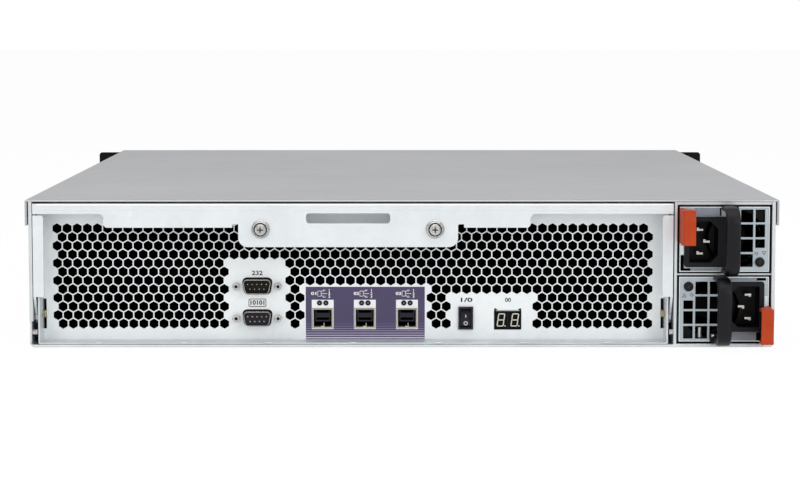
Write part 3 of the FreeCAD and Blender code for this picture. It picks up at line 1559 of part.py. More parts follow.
def make_cage():
    """Upright dividers with pressed ribs that carry the sleds, and ribbed liners on the tray's walls."""
    body = new_body("DriveCage")

    def sheets(drawing):
        last = len(columns())
        for line in range(last + 1):
            middle = column_left(line)
            half = "cage_sheet / 2"
            low = "floor_thick"
            right_side = [(f"{middle} + {half}", "tray_top")]
            left_side = [(f"{middle} - {half}", "tray_top")]
            for row in reversed(rows()):
                foot = row_low(row)
                shoulder = f"{foot} + rib_high"
                if line < last:
                    right_side += [(f"{middle} + {half}", shoulder), (f"{middle} + rib_wide", shoulder)]
                    if row:
                        right_side += [(f"{middle} + rib_wide", foot), (f"{middle} + {half}", foot)]
                    else:
                        right_side += [(f"{middle} + rib_wide", foot)]
                if line:
                    left_side += [(f"{middle} - {half}", shoulder), (f"{middle} - rib_wide", shoulder)]
                    if row:
                        left_side += [(f"{middle} - rib_wide", foot), (f"{middle} - {half}", foot)]
                    else:
                        left_side += [(f"{middle} - rib_wide", foot)]
            bend = "corner_bend - wall_thick"
            if line == 0:
                left_side = [(middle, "tray_top"), (middle, f"{low} + {bend}"), (f"{middle} + {bend}", low)]
            if line == last:
                right_side = [(middle, "tray_top"), (middle, f"{low} + {bend}"), (f"{middle} - {bend}", low)]
            drawing.outline(right_side + left_side[::-1])

    pad(body, "CageSheets", "XZ_Plane", "midplane_front + 8", "sled_front - bezel_deep - 1", sheets)
    return keep(body, "drive_cage")


def make_sled():
    """Drive carrier of the first column and lowest row: bezel, two rails, a cross tie, and its disk."""
    body = new_body("Sled")
    left = f"{column_left(0)} + cage_sheet / 2 + drive_gap"
    right = f"{column_left(1)} - cage_sheet / 2 - drive_gap"
    low = "floor_thick + seat_gap"
    high = "floor_thick + row_high - seat_gap"
    rail_low = "floor_thick + rib_high + seat_gap"
    bezel_rear = "sled_front - bezel_deep"

    def bezel(drawing):
        drawing.oblong(left, right, low, high)

    pad(body, "Bezel", "XZ_Plane", bezel_rear, "sled_front", bezel)

    def rails(drawing):
        drawing.oblong(left, f"{left} + sled_rail", "sled_rear", bezel_rear)
        drawing.oblong(f"{right} - sled_rail", right, "sled_rear", bezel_rear)
        drawing.oblong(f"{left} + sled_rail", f"{right} - sled_rail", f"{bezel_rear} - 6", bezel_rear)

    pad(body, "Rails", "XY_Plane", rail_low, f"{rail_low} + rail_high_drive", rails)

    def lever_bed(drawing):
        end = "lever_left + lever_long + 0.8"
        drawing.oblong("lever_left - 0.8", end, "lever_low - 0.5", "lever_low + lever_tall + 0.5")

    pocket(body, "LeverBed", "XZ_Plane", "sled_front - lever_deep - 0.8", "sled_front + 1", lever_bed)

    def vents(drawing):
        first = "lever_left + lever_long + 4"
        for column in range(2):
            start = f"{first} + {column} * vent_pitch"
            drawing.oblong(start, f"{start} + vent_wide", "lever_low", "lever_low + lever_tall")

    pocket(body, "BezelVents", "XZ_Plane", f"{bezel_rear} - 8", "sled_front + 1", vents)

    def pin(drawing):
        drawing.ring("lever_pin_across", "lever_pin_along", "lever_pin", 6)

    pad(body, "LeverPin", "XY_Plane", "lever_low - 0.5", "lever_low + lever_tall + 0.5", pin)
    across = f"({left} + {right}) / 2"
    disk_low = f"{rail_low} + 0.5"
    disk = block(
        "Disk",
        f"{across} - disk_wide / 2",
        f"{across} + disk_wide / 2",
        "sled_rear + 1",
        "sled_rear + 1 + disk_long",
        disk_low,
        f"{disk_low} + disk_high",
    )
    return join("SledWhole", body, disk)


def make_lever():
    """Carrier lever: a tapered bar with a barrel at its hinge and grip grooves at its free end."""
    body = new_body("Lever")
    pin_across, pin_along = "lever_pin_across", "lever_pin_along"
    plan = [
        (pin_across, f"{pin_along} - lever_deep / 2 + 0.4"),
        ("lever_left + lever_long", f"{pin_along} - lever_deep / 2 + 1.4"),
        ("lever_left + lever_long", f"{pin_along} + lever_deep / 2 - 0.1"),
        (pin_across, f"{pin_along} + lever_deep / 2 - 0.1"),
    ]
    low, high = "lever_low", "lever_low + lever_tall"
    pad(body, "LeverBar", "XY_Plane", low, high, lambda d: d.outline(plan))

    def barrel(drawing):
        drawing.circle(pin_across, pin_along, "lever_deep / 2 - 0.1")

    def bore(drawing):
        drawing.ring(pin_across, pin_along, "(lever_pin + pivot_fit) / cos(22.5)", 8)

    pad(body, "LeverBarrel", "XY_Plane", low, high, barrel)
    pocket(body, "LeverBore", "XY_Plane", f"{low} - 1", f"{high} + 1", bore)

    def grooves(drawing):
        for groove in range(2):
            right = f"lever_left + lever_long - groove_end - {groove} * groove_pitch"
            drawing.oblong(f"{right} - groove_pitch / 2", right, f"{low} + 3", f"{high} - 3")

    pocket(body, "LeverGrooves", "XZ_Plane", "sled_front - 1.2", "sled_front + 2", grooves)
    return body


def moved(name, source, column, row):
    """The same piece in another column and row of the drive bay."""
    return put(group(name, source), f"{column} * column_wide", "0", f"{row} * row_high")


def make_drives():
    sled, lever = make_sled(), make_lever()
    doc.recompute()
    for row in rows():
        for column in columns():
            number = row * len(columns()) + column
            if number == 0:
                keep(sled, "drive_carrier_00")
                keep(lever, "drive_lever_00")
                continue
            keep(moved(f"Sled{number}", sled, column, row), f"drive_carrier_{number:02d}")
            keep(moved(f"Lever{number}", lever, column, row), f"drive_lever_{number:02d}")


def write_parts():
    """Checks every object and writes one file for each finished piece."""
    doc.recompute()
    for item in doc.Objects:
        if "Invalid" in item.State or "Error" in item.State:
            raise ValueError(f"{item.Name} did not build: {item.State}")
    for piece in PARTS:
        if piece.Shape.isNull() or not piece.Shape.isValid() or not piece.Shape.Solids:
            raise ValueError(f"{piece.Label} has no sound shape")
    os.makedirs("parts", exist_ok=True)
    for piece in PARTS:
        piece.Shape.exportStep(f"parts/{piece.Label}.step")


fill_sheets()
make_tray()
make_cover("top_cover_rear", "rear", "seam")
make_cover("top_cover_front", "seam + split_gap", "front - ear_thick - seat_gap")
make_cover_screws()
make_ear("rack_ear_left", -1)
make_ear("rack_ear_right", 1)
make_divider()
make_bay_shelf()
make_bay_rails()
make_ejector_pins()
make_midplane()
make_cage()
make_canister_tray()
make_face()
make_board()
make_serial_ports()
make_jackscrews()
make_host_ports()
make_port_lights()
make_display()
make_switch()
make_rocker()
make_rivets()
make_handle()
make_captive_screw("captive_screw_left", "screw_left")
make_captive_screw("captive_screw_right", "screw_right")
make_supplies()
make_drives()
write_parts()
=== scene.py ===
import math

import bmesh
import bpy
from mathutils import Euler, Matrix, Vector


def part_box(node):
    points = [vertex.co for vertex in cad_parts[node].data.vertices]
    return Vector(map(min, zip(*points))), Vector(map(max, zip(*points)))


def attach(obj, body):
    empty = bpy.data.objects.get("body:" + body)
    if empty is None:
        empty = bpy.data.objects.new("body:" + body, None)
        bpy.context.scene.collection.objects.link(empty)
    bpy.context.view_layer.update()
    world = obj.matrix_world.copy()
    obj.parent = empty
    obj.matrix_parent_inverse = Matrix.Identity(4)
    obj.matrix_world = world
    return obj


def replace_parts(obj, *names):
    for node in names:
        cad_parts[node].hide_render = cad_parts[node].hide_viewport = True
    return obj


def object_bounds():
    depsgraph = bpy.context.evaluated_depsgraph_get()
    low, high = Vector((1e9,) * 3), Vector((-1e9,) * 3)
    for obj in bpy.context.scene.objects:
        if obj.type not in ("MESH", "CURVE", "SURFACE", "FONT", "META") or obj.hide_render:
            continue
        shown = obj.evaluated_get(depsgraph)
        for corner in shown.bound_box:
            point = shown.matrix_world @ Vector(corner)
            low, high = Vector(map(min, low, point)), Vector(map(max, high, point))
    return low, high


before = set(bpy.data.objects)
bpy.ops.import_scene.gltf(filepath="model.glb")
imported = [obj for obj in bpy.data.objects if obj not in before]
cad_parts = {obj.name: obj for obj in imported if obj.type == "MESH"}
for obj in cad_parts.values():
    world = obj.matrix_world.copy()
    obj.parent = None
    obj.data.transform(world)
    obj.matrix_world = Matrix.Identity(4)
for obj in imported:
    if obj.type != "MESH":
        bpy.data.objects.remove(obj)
cad_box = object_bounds()

MM = 0.001


# ---------------------------------------------------------------- colours and shader nodes


def srgb(code, alpha=1.0):
    """Linear colour of an sRGB hex value."""
    parts = [int(code[i : i + 2], 16) / 255 for i in (1, 3, 5)]
    linear = [p / 12.92 if p <= 0.04045 else ((p + 0.055) / 1.055) ** 2.4 for p in parts]
    return (*linear, alpha)


def add_node(tree, kind, settings=None, links=None, **inputs):
    """Adds a shader node, sets its properties and input values, and links its inputs."""
    node = tree.nodes.new(kind)
    for name, value in (settings or {}).items():
        setattr(node, name, value)
    for name, value in inputs.items():
        node.inputs[name.replace("_", " ")].default_value = value
    for name, source in (links or {}).items():
        tree.links.new(source, node.inputs[name])
    return node


def set_ramp(node, stops):
    """Places a colour ramp's stops, each a position and a colour."""
    ramp = node.color_ramp
    while len(ramp.elements) < len(stops):
        ramp.elements.new(0.5)
    for element, (position, colour) in zip(ramp.elements, stops):
        element.position = position
        element.color = colour


def new_material(name):
    material = bpy.data.materials.new(name)
    material.use_nodes = True
    tree = material.node_tree
    tree.nodes.clear()
    shader = add_node(tree, "ShaderNodeBsdfPrincipled")
    add_node(tree, "ShaderNodeOutputMaterial", links={"Surface": shader.outputs["BSDF"]})
    return material, tree, shader


def place(tree, scale):
    """Object coordinates scaled so that one pattern cell is 1 / scale metres."""
    spot = add_node(tree, "ShaderNodeTexCoord")
    mapping = add_node(tree, "ShaderNodeMapping", links={"Vector": spot.outputs["Object"]})
    mapping.inputs["Scale"].default_value = scale if hasattr(scale, "__len__") else (scale,) * 3
    return mapping.outputs["Vector"]


def grain(tree, scale, detail=2.0, rough=0.5):
    """Noise with cells of about 1 / scale metres."""
    links = {"Vector": place(tree, scale)}
    noise = add_node(tree, "ShaderNodeTexNoise", None, links, Scale=1.0, Detail=detail, Roughness=rough)
    return noise.outputs["Fac"]


def tint(tree, shader, factor, dark, light, low=0.3, high=0.7):
    """Colours the shader between two hex values by a pattern."""
    ramp = add_node(tree, "ShaderNodeValToRGB", links={"Fac": factor})
    set_ramp(ramp, [(low, srgb(dark)), (high, srgb(light))])
    tree.links.new(ramp.outputs["Color"], shader.inputs["Base Color"])
    return ramp


def vary_roughness(tree, shader, factor, low, high):
    spread = add_node(tree, "ShaderNodeMapRange", links={"Value": factor}, To_Min=low, To_Max=high)
    tree.links.new(spread.outputs["Result"], shader.inputs["Roughness"])


def soften(tree, shader, factor=None, depth=0.00005, edge=0.0003, strength=0.3):
    """Rounds the look of sharp edges by a radius in metres and adds relief from a pattern."""
    rounded = add_node(tree, "ShaderNodeBevel", {"samples": 4}, Radius=edge)
    normal = rounded.outputs["Normal"]
    if factor is not None:
        links = {"Height": factor, "Normal": normal}
        bump = add_node(tree, "ShaderNodeBump", None, links, Distance=depth, Strength=strength)
        normal = bump.outputs["Normal"]
    tree.links.new(normal, shader.inputs["Normal"])


# ---------------------------------------------------------------- materials


def galvanised_steel(name, dark, light, metallic, rough):
    """Zinc-coated sheet: pale grey with faint 4 mm spangle and a soft, broken sheen."""
    material, tree, shader = new_material(name)
    links = {"Vector": place(tree, 1 / 0.004)}
    spangle = add_node(tree, "ShaderNodeTexVoronoi", {"feature": "F1"}, links, Scale=1.0, Randomness=1.0)
    cloud = grain(tree, 1 / 0.03, 3.0)
    links = {"A": spangle.outputs["Color"], "B": cloud}
    blend = add_node(tree, "ShaderNodeMix", {"data_type": "FLOAT"}, links, Factor=0.8)
    tint(tree, shader, blend.outputs["Result"], dark, light, 0.15, 0.85)
    vary_roughness(tree, shader, cloud, *rough)
    soften(tree, shader, grain(tree, 1 / 0.0012), 0.00002, 0.0003, 0.12)
    shader.inputs["Metallic"].default_value = metallic
    return material


def satin_cover_paint():
    """Baked polyester paint on the covers: even mid grey, with a faint 0.8 mm orange peel."""
    material, tree, shader = new_material("satin_cover_paint")
    tint(tree, shader, grain(tree, 1 / 0.12, 2.0), "#A5A6A9", "#ABACAF")
    vary_roughness(tree, shader, grain(tree, 1 / 0.02), 0.38, 0.48)
    soften(tree, shader, grain(tree, 1 / 0.0008), 0.00001, 0.0004, 0.1)
    shader.inputs["Specular IOR Level"].default_value = 0.4
    return material


def black_powder_coat():
    """Powder coat on the rack ears: near black with a fine 0.5 mm pebble."""
    material, tree, shader = new_material("black_powder_coat")
    pebble = grain(tree, 1 / 0.0005, 1.0)
    tint(tree, shader, pebble, "#010103", "#050407")
    vary_roughness(tree, shader, pebble, 0.5, 0.65)
    soften(tree, shader, pebble, 0.00004, 0.0003, 0.3)
    shader.inputs["Specular IOR Level"].default_value = 0.15
    return material


def bright_zinc():
    """Zinc-plated screws and pins: bright, slightly streaked steel."""
    material, tree, shader = new_material("bright_zinc")
    streak = grain(tree, (1 / 0.0006, 1 / 0.0006, 1 / 0.004), 2.0)
    tint(tree, shader, streak, "#A9A8A6", "#DEDCD8")
    vary_roughness(tree, shader, streak, 0.18, 0.34)
    soften(tree, shader, streak, 0.00001, 0.00015, 0.1)
    shader.inputs["Metallic"].default_value = 1.0
    return material


def plated(name, cell, dark, light, rough, edge=None, detail=2.0):
    """Plated or turned metal, with a faint wash in cells of the given size."""
    material, tree, shader = new_material(name)
    wash = grain(tree, 1 / cell, detail)
    tint(tree, shader, wash, dark, light)
    vary_roughness(tree, shader, wash, *rough)
    if edge:
        soften(tree, shader, None, edge=edge)
    shader.inputs["Metallic"].default_value = 1.0
    return material


def moulded_black(name, dark, light, rough=(0.42, 0.56), gloss=0.25):
    """Glass-filled nylon or ABS with a spark-eroded texture of 0.6 mm grit."""
    material, tree, shader = new_material(name)
    texture = grain(tree, 1 / 0.0006, 2.0)
    tint(tree, shader, texture, dark, light)
    vary_roughness(tree, shader, grain(tree, 1 / 0.006), *rough)
    soften(tree, shader, texture, 0.00003, 0.0003, 0.25)
    shader.inputs["Specular IOR Level"].default_value = gloss
    return material


def orange_abs():
    """Moulded orange ABS of the latches: saturated, evenly matt, with a fine 0.5 mm texture."""
    material, tree, shader = new_material("orange_abs")
    texture = grain(tree, 1 / 0.0005, 2.0)
    tint(tree, shader, grain(tree, 1 / 0.01), "#A33612", "#B03E16")
    vary_roughness(tree, shader, texture, 0.42, 0.55)
    soften(tree, shader, texture, 0.00002, 0.0003, 0.2)
    shader.inputs["Specular IOR Level"].default_value = 0.2
    return material


def green_laminate():
    """Solder mask over glass-fibre laminate: deep green with a faint 0.4 mm weave."""
    material, tree, shader = new_material("green_laminate")
    links = {"Vector": place(tree, 1 / 0.0004)}
    weave = add_node(tree, "ShaderNodeTexChecker", None, links, Scale=1.0)
    tint(tree, shader, weave.outputs["Fac"], "#0F3320", "#123A25")
    vary_roughness(tree, shader, grain(tree, 1 / 0.004), 0.22, 0.38)
    soften(tree, shader, weave.outputs["Fac"], 0.00001, 0.0002, 0.1)
    return material


def smoked_window():
    """Glossy smoked acrylic over the display."""
    material, tree, shader = new_material("smoked_window")
    tint(tree, shader, grain(tree, 1 / 0.005), "#08060D", "#0D0A13")
    vary_roughness(tree, shader, grain(tree, 1 / 0.003), 0.12, 0.2)
    soften(tree, shader, None, edge=0.0002)
    shader.inputs["Specular IOR Level"].default_value = 0.08
    return material


def printed(name, light, dark=None, rough=0.5):
    """Screen-printed ink, vinyl or thin paint: flat colour with a slight 0.8 mm mottle."""
    material, tree, shader = new_material(name)
    mottle = grain(tree, 1 / 0.0008, 2.0)
    tint(tree, shader, mottle, dark or light, light, 0.2, 0.6)
    vary_roughness(tree, shader, mottle, rough - 0.05, rough + 0.08)
    return material


def frosted_lens():
    """Frosted polycarbonate light pipes, unlit."""
    material, tree, shader = new_material("frosted_lens")
    tint(tree, shader, grain(tree, 1 / 0.0007), "#B9BBAF", "#D8D9CF")
    vary_roughness(tree, shader, grain(tree, 1 / 0.0007), 0.3, 0.45)
    shader.inputs["Subsurface Weight"].default_value = 0.2
    shader.inputs["Subsurface Radius"].default_value = (0.001, 0.001, 0.001)
    return material


# Sheet metal: 1 mm galvanised tray, bright face plate, bail, supply cases, inner cage; the paler copies on
# panel edges, rolled edges and folds are painted highlights.
STEEL = galvanised_steel("galvanised_steel", "#C3C8CB", "#DDE2E4", 0.55, (0.30, 0.46))
FACE_STEEL = galvanised_steel("bright_face_sheet", "#E3E8EA", "#F2F5F6", 0.35, (0.34, 0.48))
HANDLE_STEEL = galvanised_steel("electrogalvanised_bail", "#D6DBDE", "#E5EAEC", 0.4, (0.30, 0.42))
SUPPLY_STEEL = galvanised_steel("supply_sheet", "#A4AFB6", "#B8C2C8", 0.45, (0.32, 0.46))
CAGE_STEEL = galvanised_steel("inner_sheet", "#8E9396", "#A8ADB0", 0.6, (0.35, 0.5))
# Paler copy of the supply sheet: painted highlight along the edge of each supply panel, and the pale plates
# beside the inlet.
PALE_SHEET_EDGE_HIGHLIGHT = galvanised_steel("pale_sheet_and_painted_edge_highlight", "#D2D8DB", "#E4E9EB", 0.3, (0.3, 0.4))
# Near-white copy of the sheet: painted highlight on rolled edges and folds.
FOLD_HIGHLIGHT = galvanised_steel("painted_fold_highlight", "#F0F4F5", "#FBFDFD", 0.15, (0.3, 0.4))
CAGE_TIN = galvanised_steel("bright_tin", "#B9AF9C", "#E3DCCB", 0.7, (0.22, 0.34))

# Paint, plating and turned metal: nickel-plated shells, gold-flashed contacts, brass dulled by handling.
COVER = satin_cover_paint()
EAR = black_powder_coat()
ZINC = bright_zinc()
NICKEL = plated("nickel_shell", 0.003, "#B3AFA8", "#DCD9D2", (0.16, 0.3), 0.0002)
GOLD = plated("gold_flash", 0.001, "#C9A96A", "#EAD7A6", (0.18, 0.3), detail=1.0)
BRASS = plated("rivet_brass", 0.0015, "#8F8160", "#C9BD98", (0.28, 0.42), 0.0003)

# Mouldings, windows, and flat blacks for painted shade.
NYLON = moulded_black("black_nylon", "#06050A", "#0C0B12", (0.36, 0.48))
SOCKET_CORE = moulded_black("navy_core", "#161423", "#1D1B2B", (0.35, 0.45), 0.2)
INSERT = moulded_black("slate_insert", "#14151E", "#1D1F2A", (0.3, 0.42))
SWITCH = moulded_black("switch_nylon", "#1B1A25", "#25242F", (0.3, 0.42))
FAN = moulded_black("fan_pbt", "#030305", "#08080B", gloss=0.15)
# Dead black with no sheen: painted shade behind the cells, at the back of the host ports and behind the fans.
FLAT_SHADE = moulded_black("painted_shade_black", "#000000", "#010101", (0.9, 1.0), 0.0)
# Flat black of painted shade in the gaps round the supply panels and in the slots beside their inlets.
GAP_SHADE = moulded_black("foam_gasket", "#020203", "#050506", (0.8, 0.95), 0.05)
BEZEL = moulded_black("bezel_abs", "#34353A", "#3E3F45", (0.4, 0.5))
LEVER = moulded_black("lever_abs", "#7C7E83", "#8A8C91", (0.38, 0.48))
# Pale grey tip of a real light pipe, its paleness partly a painted highlight.
TIP_HIGHLIGHT = moulded_black("light_pipe_tip_painted_highlight", "#6E6C78", "#7C7A86", (0.25, 0.35))
LAMP_LENS = moulded_black("unlit_lamp", "#2A201E", "#372B28", (0.2, 0.3), 0.3)
ORANGE = orange_abs()
BOARD = green_laminate()
WINDOW = smoked_window()
LENS = frosted_lens()

# Inks, vinyl, labels and thin paint, and flat colours for painted highlights and painted shade.
WHITE_INK = printed("white_ink", "#F2F1EE", "#E4E3E0")
DARK_INK = printed("dark_ink", "#08070C", "#121117")
BEZEL_INK = printed("bezel_ink", "#C4C5C8", "#B6B7BA", 0.45)
SEGMENT = printed("segment_cream", "#CDCEBE", "#C2C3B2", 0.35)
EDGE_STRIP = printed("pale_edge", "#A9B8AC", "#9CABA0", 0.4)
SEAM = printed("display_seam", "#221C34", "#1C172C", 0.4)
PURPLE = printed("purple_vinyl", "#473D60", "#3F3656", 0.55)
LILAC_CODES = ("#6C6083", "#776C8E", "#857B9A", "#9389A6", "#A39AB4", "#B3ABC1", "#C9C4D3")
LILACS = [printed(f"lilac_{number}", code, rough=0.42) for number, code in enumerate(LILAC_CODES)]
SLATE = printed("slate_flange", "#7C818C", "#878C97", 0.4)
# Paler copy of the cover paint: painted highlight on the covers' rear edge and joint.
COVER_EDGE_HIGHLIGHT = printed("painted_cover_edge_highlight", "#D3D4D6", "#C8C9CC", 0.4)
# Dark flat colour: painted shade at the bottom of screw recesses and jack bores.
RECESS_SHADE = printed("recess_shadow", "#3B3733", "#2A2724", 0.6)
LIGHT_GREEN = printed("unlit_green_lens", "#A9B9A4", "#95A892", 0.3)
LIGHT_AMBER = printed("unlit_amber_lens", "#C3AC85", "#B39B74", 0.3)
LABEL_STOCK = printed("blank_label", "#C9CACB", "#BFC0C2", 0.45)

COATS = (
    (STEEL, ("chassis_tray", "psu_divider_wall", "psu_shelf", "psu_bay_rails")),
    (STEEL, ("canister_tray", "canister_face")),
    (COVER, ("top_cover_front", "top_cover_rear")),
    (BOARD, ("midplane_board", "controller_board")),
    (CAGE_STEEL, ("drive_cage",)),
    (EAR, ("rack_ear_left", "rack_ear_right")),
    (ZINC, ("ejector_pins", "cover_screws", "jackscrews", "captive_screw_left", "captive_screw_right")),
    (NICKEL, ("serial_ports", "host_ports")),
    (LENS, ("port_lights",)),
    (WINDOW, ("display_module",)),
    (SWITCH, ("switch_housing", "power_rocker")),
    (BRASS, ("pivot_rivets",)),
    (HANDLE_STEEL, ("ejector_handle",)),
    (SUPPLY_STEEL, ("psu_lower_case", "psu_upper_case")),
    (NYLON, ("psu_lower_inlet", "psu_upper_inlet", "psu_lower_grip", "psu_upper_grip")),
    (ORANGE, ("psu_lower_latch", "psu_upper_latch")),
    (FAN, ("psu_lower_fan_rotor", "psu_upper_fan_rotor")),
)
DRESS = {name: coat for coat, names in COATS for name in names}
for name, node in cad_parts.items():
    coat = DRESS.get(name, BEZEL if name.startswith("drive_carrier") else LEVER)
    for holder in node.material_slots:
        holder.material = coat
    if not node.material_slots:
        node.data.materials.append(coat)


# ---------------------------------------------------------------- mesh helpers

UPRIGHT = Matrix.Rotation(math.radians(90), 4, "X")


def finish_piece(name, mesh, material, body):
    """Makes a mesh into a named piece that rides on a body."""
    piece = bpy.data.objects.new(name, mesh)
    bpy.context.scene.collection.objects.link(piece)
    mesh.materials.clear()
    mesh.materials.append(material)
    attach(piece, body)
    return piece


def mesh_of(build):
    """Runs a function that fills a bmesh and returns the mesh."""
    work = bmesh.new()
    build(work)
    mesh = bpy.data.meshes.new("form")
    work.to_mesh(mesh)
    work.free()
    return mesh


def lofted(rings, capped=True, closed=False):
    """Skin over rings of (x, y, z) points; one point makes a tip, and a closed loft ends where it began."""
    steps = max(len(ring) for ring in rings)

    def build(work):
        layers = [[work.verts.new(spot) for spot in ring] for ring in rings]
        for near, far in zip(layers, layers[1:] + layers[:1] if closed else layers[1:]):
            for i in range(steps):
                j = (i + 1) % steps
                corners = (near[i % len(near)], near[j % len(near)], far[j % len(far)], far[i % len(far)])
                work.faces.new(list(dict.fromkeys(corners)))
        if capped:
            work.faces.new(layers[0])
            work.faces.new(layers[-1][::-1])
        bmesh.ops.recalc_face_normals(work, faces=work.faces)

    return mesh_of(build)


def prism(points, front, back):
    """Closed prism between two depths through flat points (x, z)."""
    return lofted([[(x, depth, z) for x, z in points] for depth in (front, back)])


def oblong(left, right, low, high):
    return [(left, low), (right, low), (right, high), (left, high)]


def outline_of(box, grow=0.0):
    """Outline of a box seen along Y, grown by an amount."""
    low, high = box
    return oblong(low[0] - grow, high[0] + grow, low[2] - grow, high[2] + grow)


def middle_of(box):
    """Middle of a box seen along Y."""
    low, high = box
    return (low[0] + high[0]) / 2, (low[2] + high[2]) / 2


def rounded(left, right, low, high, radius, steps=5):
    """Rectangle with round corners, as points."""
    points = []
    for cx, cz, start in (
        (right - radius, high - radius, 0),
        (left + radius, high - radius, 90),
        (left + radius, low + radius, 180),
        (right - radius, low + radius, 270),
    ):
        for step in range(steps + 1):
            angle = math.radians(start + 90 * step / steps)
            points.append((cx + radius * math.cos(angle), cz + radius * math.sin(angle)))
    return points


def round_corners(points, radius, steps=5):
    """Convex outline with each corner turned into an arc."""
    arcs = []
    count = len(points)
    for i in range(count):
        before, here, after = (Vector(points[(i + k) % count]) for k in (-1, 0, 1))
        inward, outward = (before - here).normalized(), (after - here).normalized()
        half = inward.angle(outward) / 2
        reach = radius / math.tan(half)
        centre = here + (inward + outward).normalized() * (radius / math.sin(half))
        start, end = here + inward * reach - centre, here + outward * reach - centre
        sweep = start.angle_signed(end)
        for step in range(steps + 1):
            spot = start.copy()
            spot.rotate(Matrix.Rotation(-sweep * step / steps, 2))
            arcs.append(tuple(centre + spot))
    return arcs


def disc(x, z, radius, steps=24, start=0.0):
    """Regular outline round a spot, as points; six steps give a hexagon."""
    turns = [start + 2 * math.pi * step / steps for step in range(steps)]
    return [(x + radius * math.cos(a), z + radius * math.sin(a)) for a in turns]


def turned(x, z, profile, steps=24):
    """Form turned about an axis along Y from (radius, depth) points: from axis to axis, or else a ring."""
    rings = []
    for radius, depth in profile:
        outline = disc(x, z, radius, steps) if radius else [(x, z)]
        rings.append([(px, depth, pz) for px, pz in outline])
    return lofted(rings, capped=False, closed=profile[0][0] > 0)


def bead(start, end, y, z, radius, steps=10):
    """Round bead along X, for the rolled edge of a sheet."""
    outline = disc(y, z, radius, steps)
    return lofted([[(x, py, pz) for py, pz in outline] for x in (start, end)])


def mesh_of_curve(curve):
    """Mesh of a curve that lies flat, turned upright into the XZ plane; the curve is removed."""
    holder = bpy.data.objects.new("curve", curve)
    bpy.context.scene.collection.objects.link(holder)
    bpy.context.view_layer.update()
    mesh = bpy.data.meshes.new_from_object(holder.evaluated_get(bpy.context.evaluated_depsgraph_get()))
    bpy.data.objects.remove(holder)
    bpy.data.curves.remove(curve)
    mesh.transform(UPRIGHT)
    return mesh


def pierced_sheet(outlines, front, thick):
    """Flat sheet in the XZ plane with holes: the first outline is its edge and the rest are its openings."""
    curve = bpy.data.curves.new("sheet", "CURVE")
    curve.dimensions = "2D"
    curve.fill_mode = "BOTH"
    curve.extrude = thick / 2
    for outline in outlines:
        spline = curve.splines.new("POLY")
        spline.points.add(len(outline) - 1)
        for point, (x, z) in zip(spline.points, outline):
            point.co = (x, z, 0, 1)
        spline.use_cyclic_u = True
    mesh = mesh_of_curve(curve)
    mesh.transform(Matrix.Translation((0, front + thick / 2, 0)))
    return mesh


def joined(*meshes):
    """One mesh from several."""

    def build(work):
        for mesh in meshes:
            work.from_mesh(mesh)

    return mesh_of(build)


# ---------------------------------------------------------------- print and small marks

INK = 0.06 * MM
FONT_PER_FIGURE = 1.37


def strokes(lines, width, front, thick=INK):
    """Flat bars that follow polylines of (x, z) points, each segment with square ends."""
    bars = []
    for line in lines:
        for (x0, z0), (x1, z1) in zip(line, line[1:]):
            long = math.hypot(x1 - x0, z1 - z0)
            dx, dz = (x1 - x0) / long * width / 2, (z1 - z0) / long * width / 2
            corners = [
                (x0 - dx - dz, z0 - dz + dx),
                (x0 - dx + dz, z0 - dz - dx),
                (x1 + dx + dz, z1 + dz - dx),
                (x1 + dx - dz, z1 + dz + dx),
            ]
            bars.append(prism(corners, front - thick, front))
    return joined(*bars)


def numerals(text, x, z, tall, front, wide=None, bold=0.0):
    """Plain figures centred on a spot, as a thin solid."""
    curve = bpy.data.curves.new("figures", "FONT")
    curve.body = text
    curve.align_x, curve.align_y = "CENTER", "CENTER"
    curve.extrude = INK / 2
    curve.offset = bold
    curve.resolution_u = 3
    curve.size = tall * FONT_PER_FIGURE
    mesh = mesh_of_curve(curve)
    spread = [v.co.x for v in mesh.vertices]
    stretch = wide / (max(spread) - min(spread)) if wide else 1.0
    mesh.transform(Matrix.Translation((x, front - INK / 2, z)) @ Matrix.Diagonal((stretch, 1, 1, 1)))
    return mesh


# ---------------------------------------------------------------- places read from the frame

face_low, face_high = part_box("canister_face")
tray_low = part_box("canister_tray")[0]
pin_low, pin_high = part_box("pivot_rivets")
serial_low, serial_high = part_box("serial_ports")
host_low, host_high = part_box("host_ports")
light_low, light_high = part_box("port_lights")
bail_low, bail_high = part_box("ejector_handle")
DISPLAY, SWITCH_BOX, ROCKER = (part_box(name) for name in ("display_module", "switch_housing", "power_rocker"))

FACE_THICK = 0.9 * MM
FACE_FRONT = face_high[1]
FACE_REAR = face_low[1]
HANDLE_PLANE = -267.5 * MM

# Ports on the face plate.
SERIAL_X = (serial_low[0] + serial_high[0]) / 2
PLUG_Z, SOCKET_Z = 34.5 * MM, 15.3 * MM
SERIAL_Z = (PLUG_Z, SOCKET_Z)
SHELL_WIDE, SHELL_TALL, SHELL_SLOPE = 18.6 * MM, 10.0 * MM, 1.6 * MM
JACK_HALF = 12.5 * MM
HOST_PITCH, HOST_WIDE = 25.2 * MM, 11.9 * MM
HOST_LEFT = [host_low[0] + HOST_PITCH * number for number in range(3)]
LIGHT_Z = (light_low[2] + light_high[2]) / 2
LIGHT_HALF = 1.9 * MM
LIGHT_SPOTS = [(left + HOST_WIDE / 2 + side * LIGHT_HALF, LIGHT_Z) for left in HOST_LEFT for side in (-1, 1)]


def d_outline(z, inset, radius):
    """Outline of a D-shaped serial shell, wide side up, set in from its outside by an amount."""
    wide, tall = SHELL_WIDE / 2 - inset, SHELL_TALL / 2 - inset
    corners = [
        (SERIAL_X - wide + SHELL_SLOPE, z - tall),
        (SERIAL_X + wide - SHELL_SLOPE, z - tall),
        (SERIAL_X + wide, z + tall),
        (SERIAL_X - wide, z + tall),
    ]
    return round_corners(corners, radius)


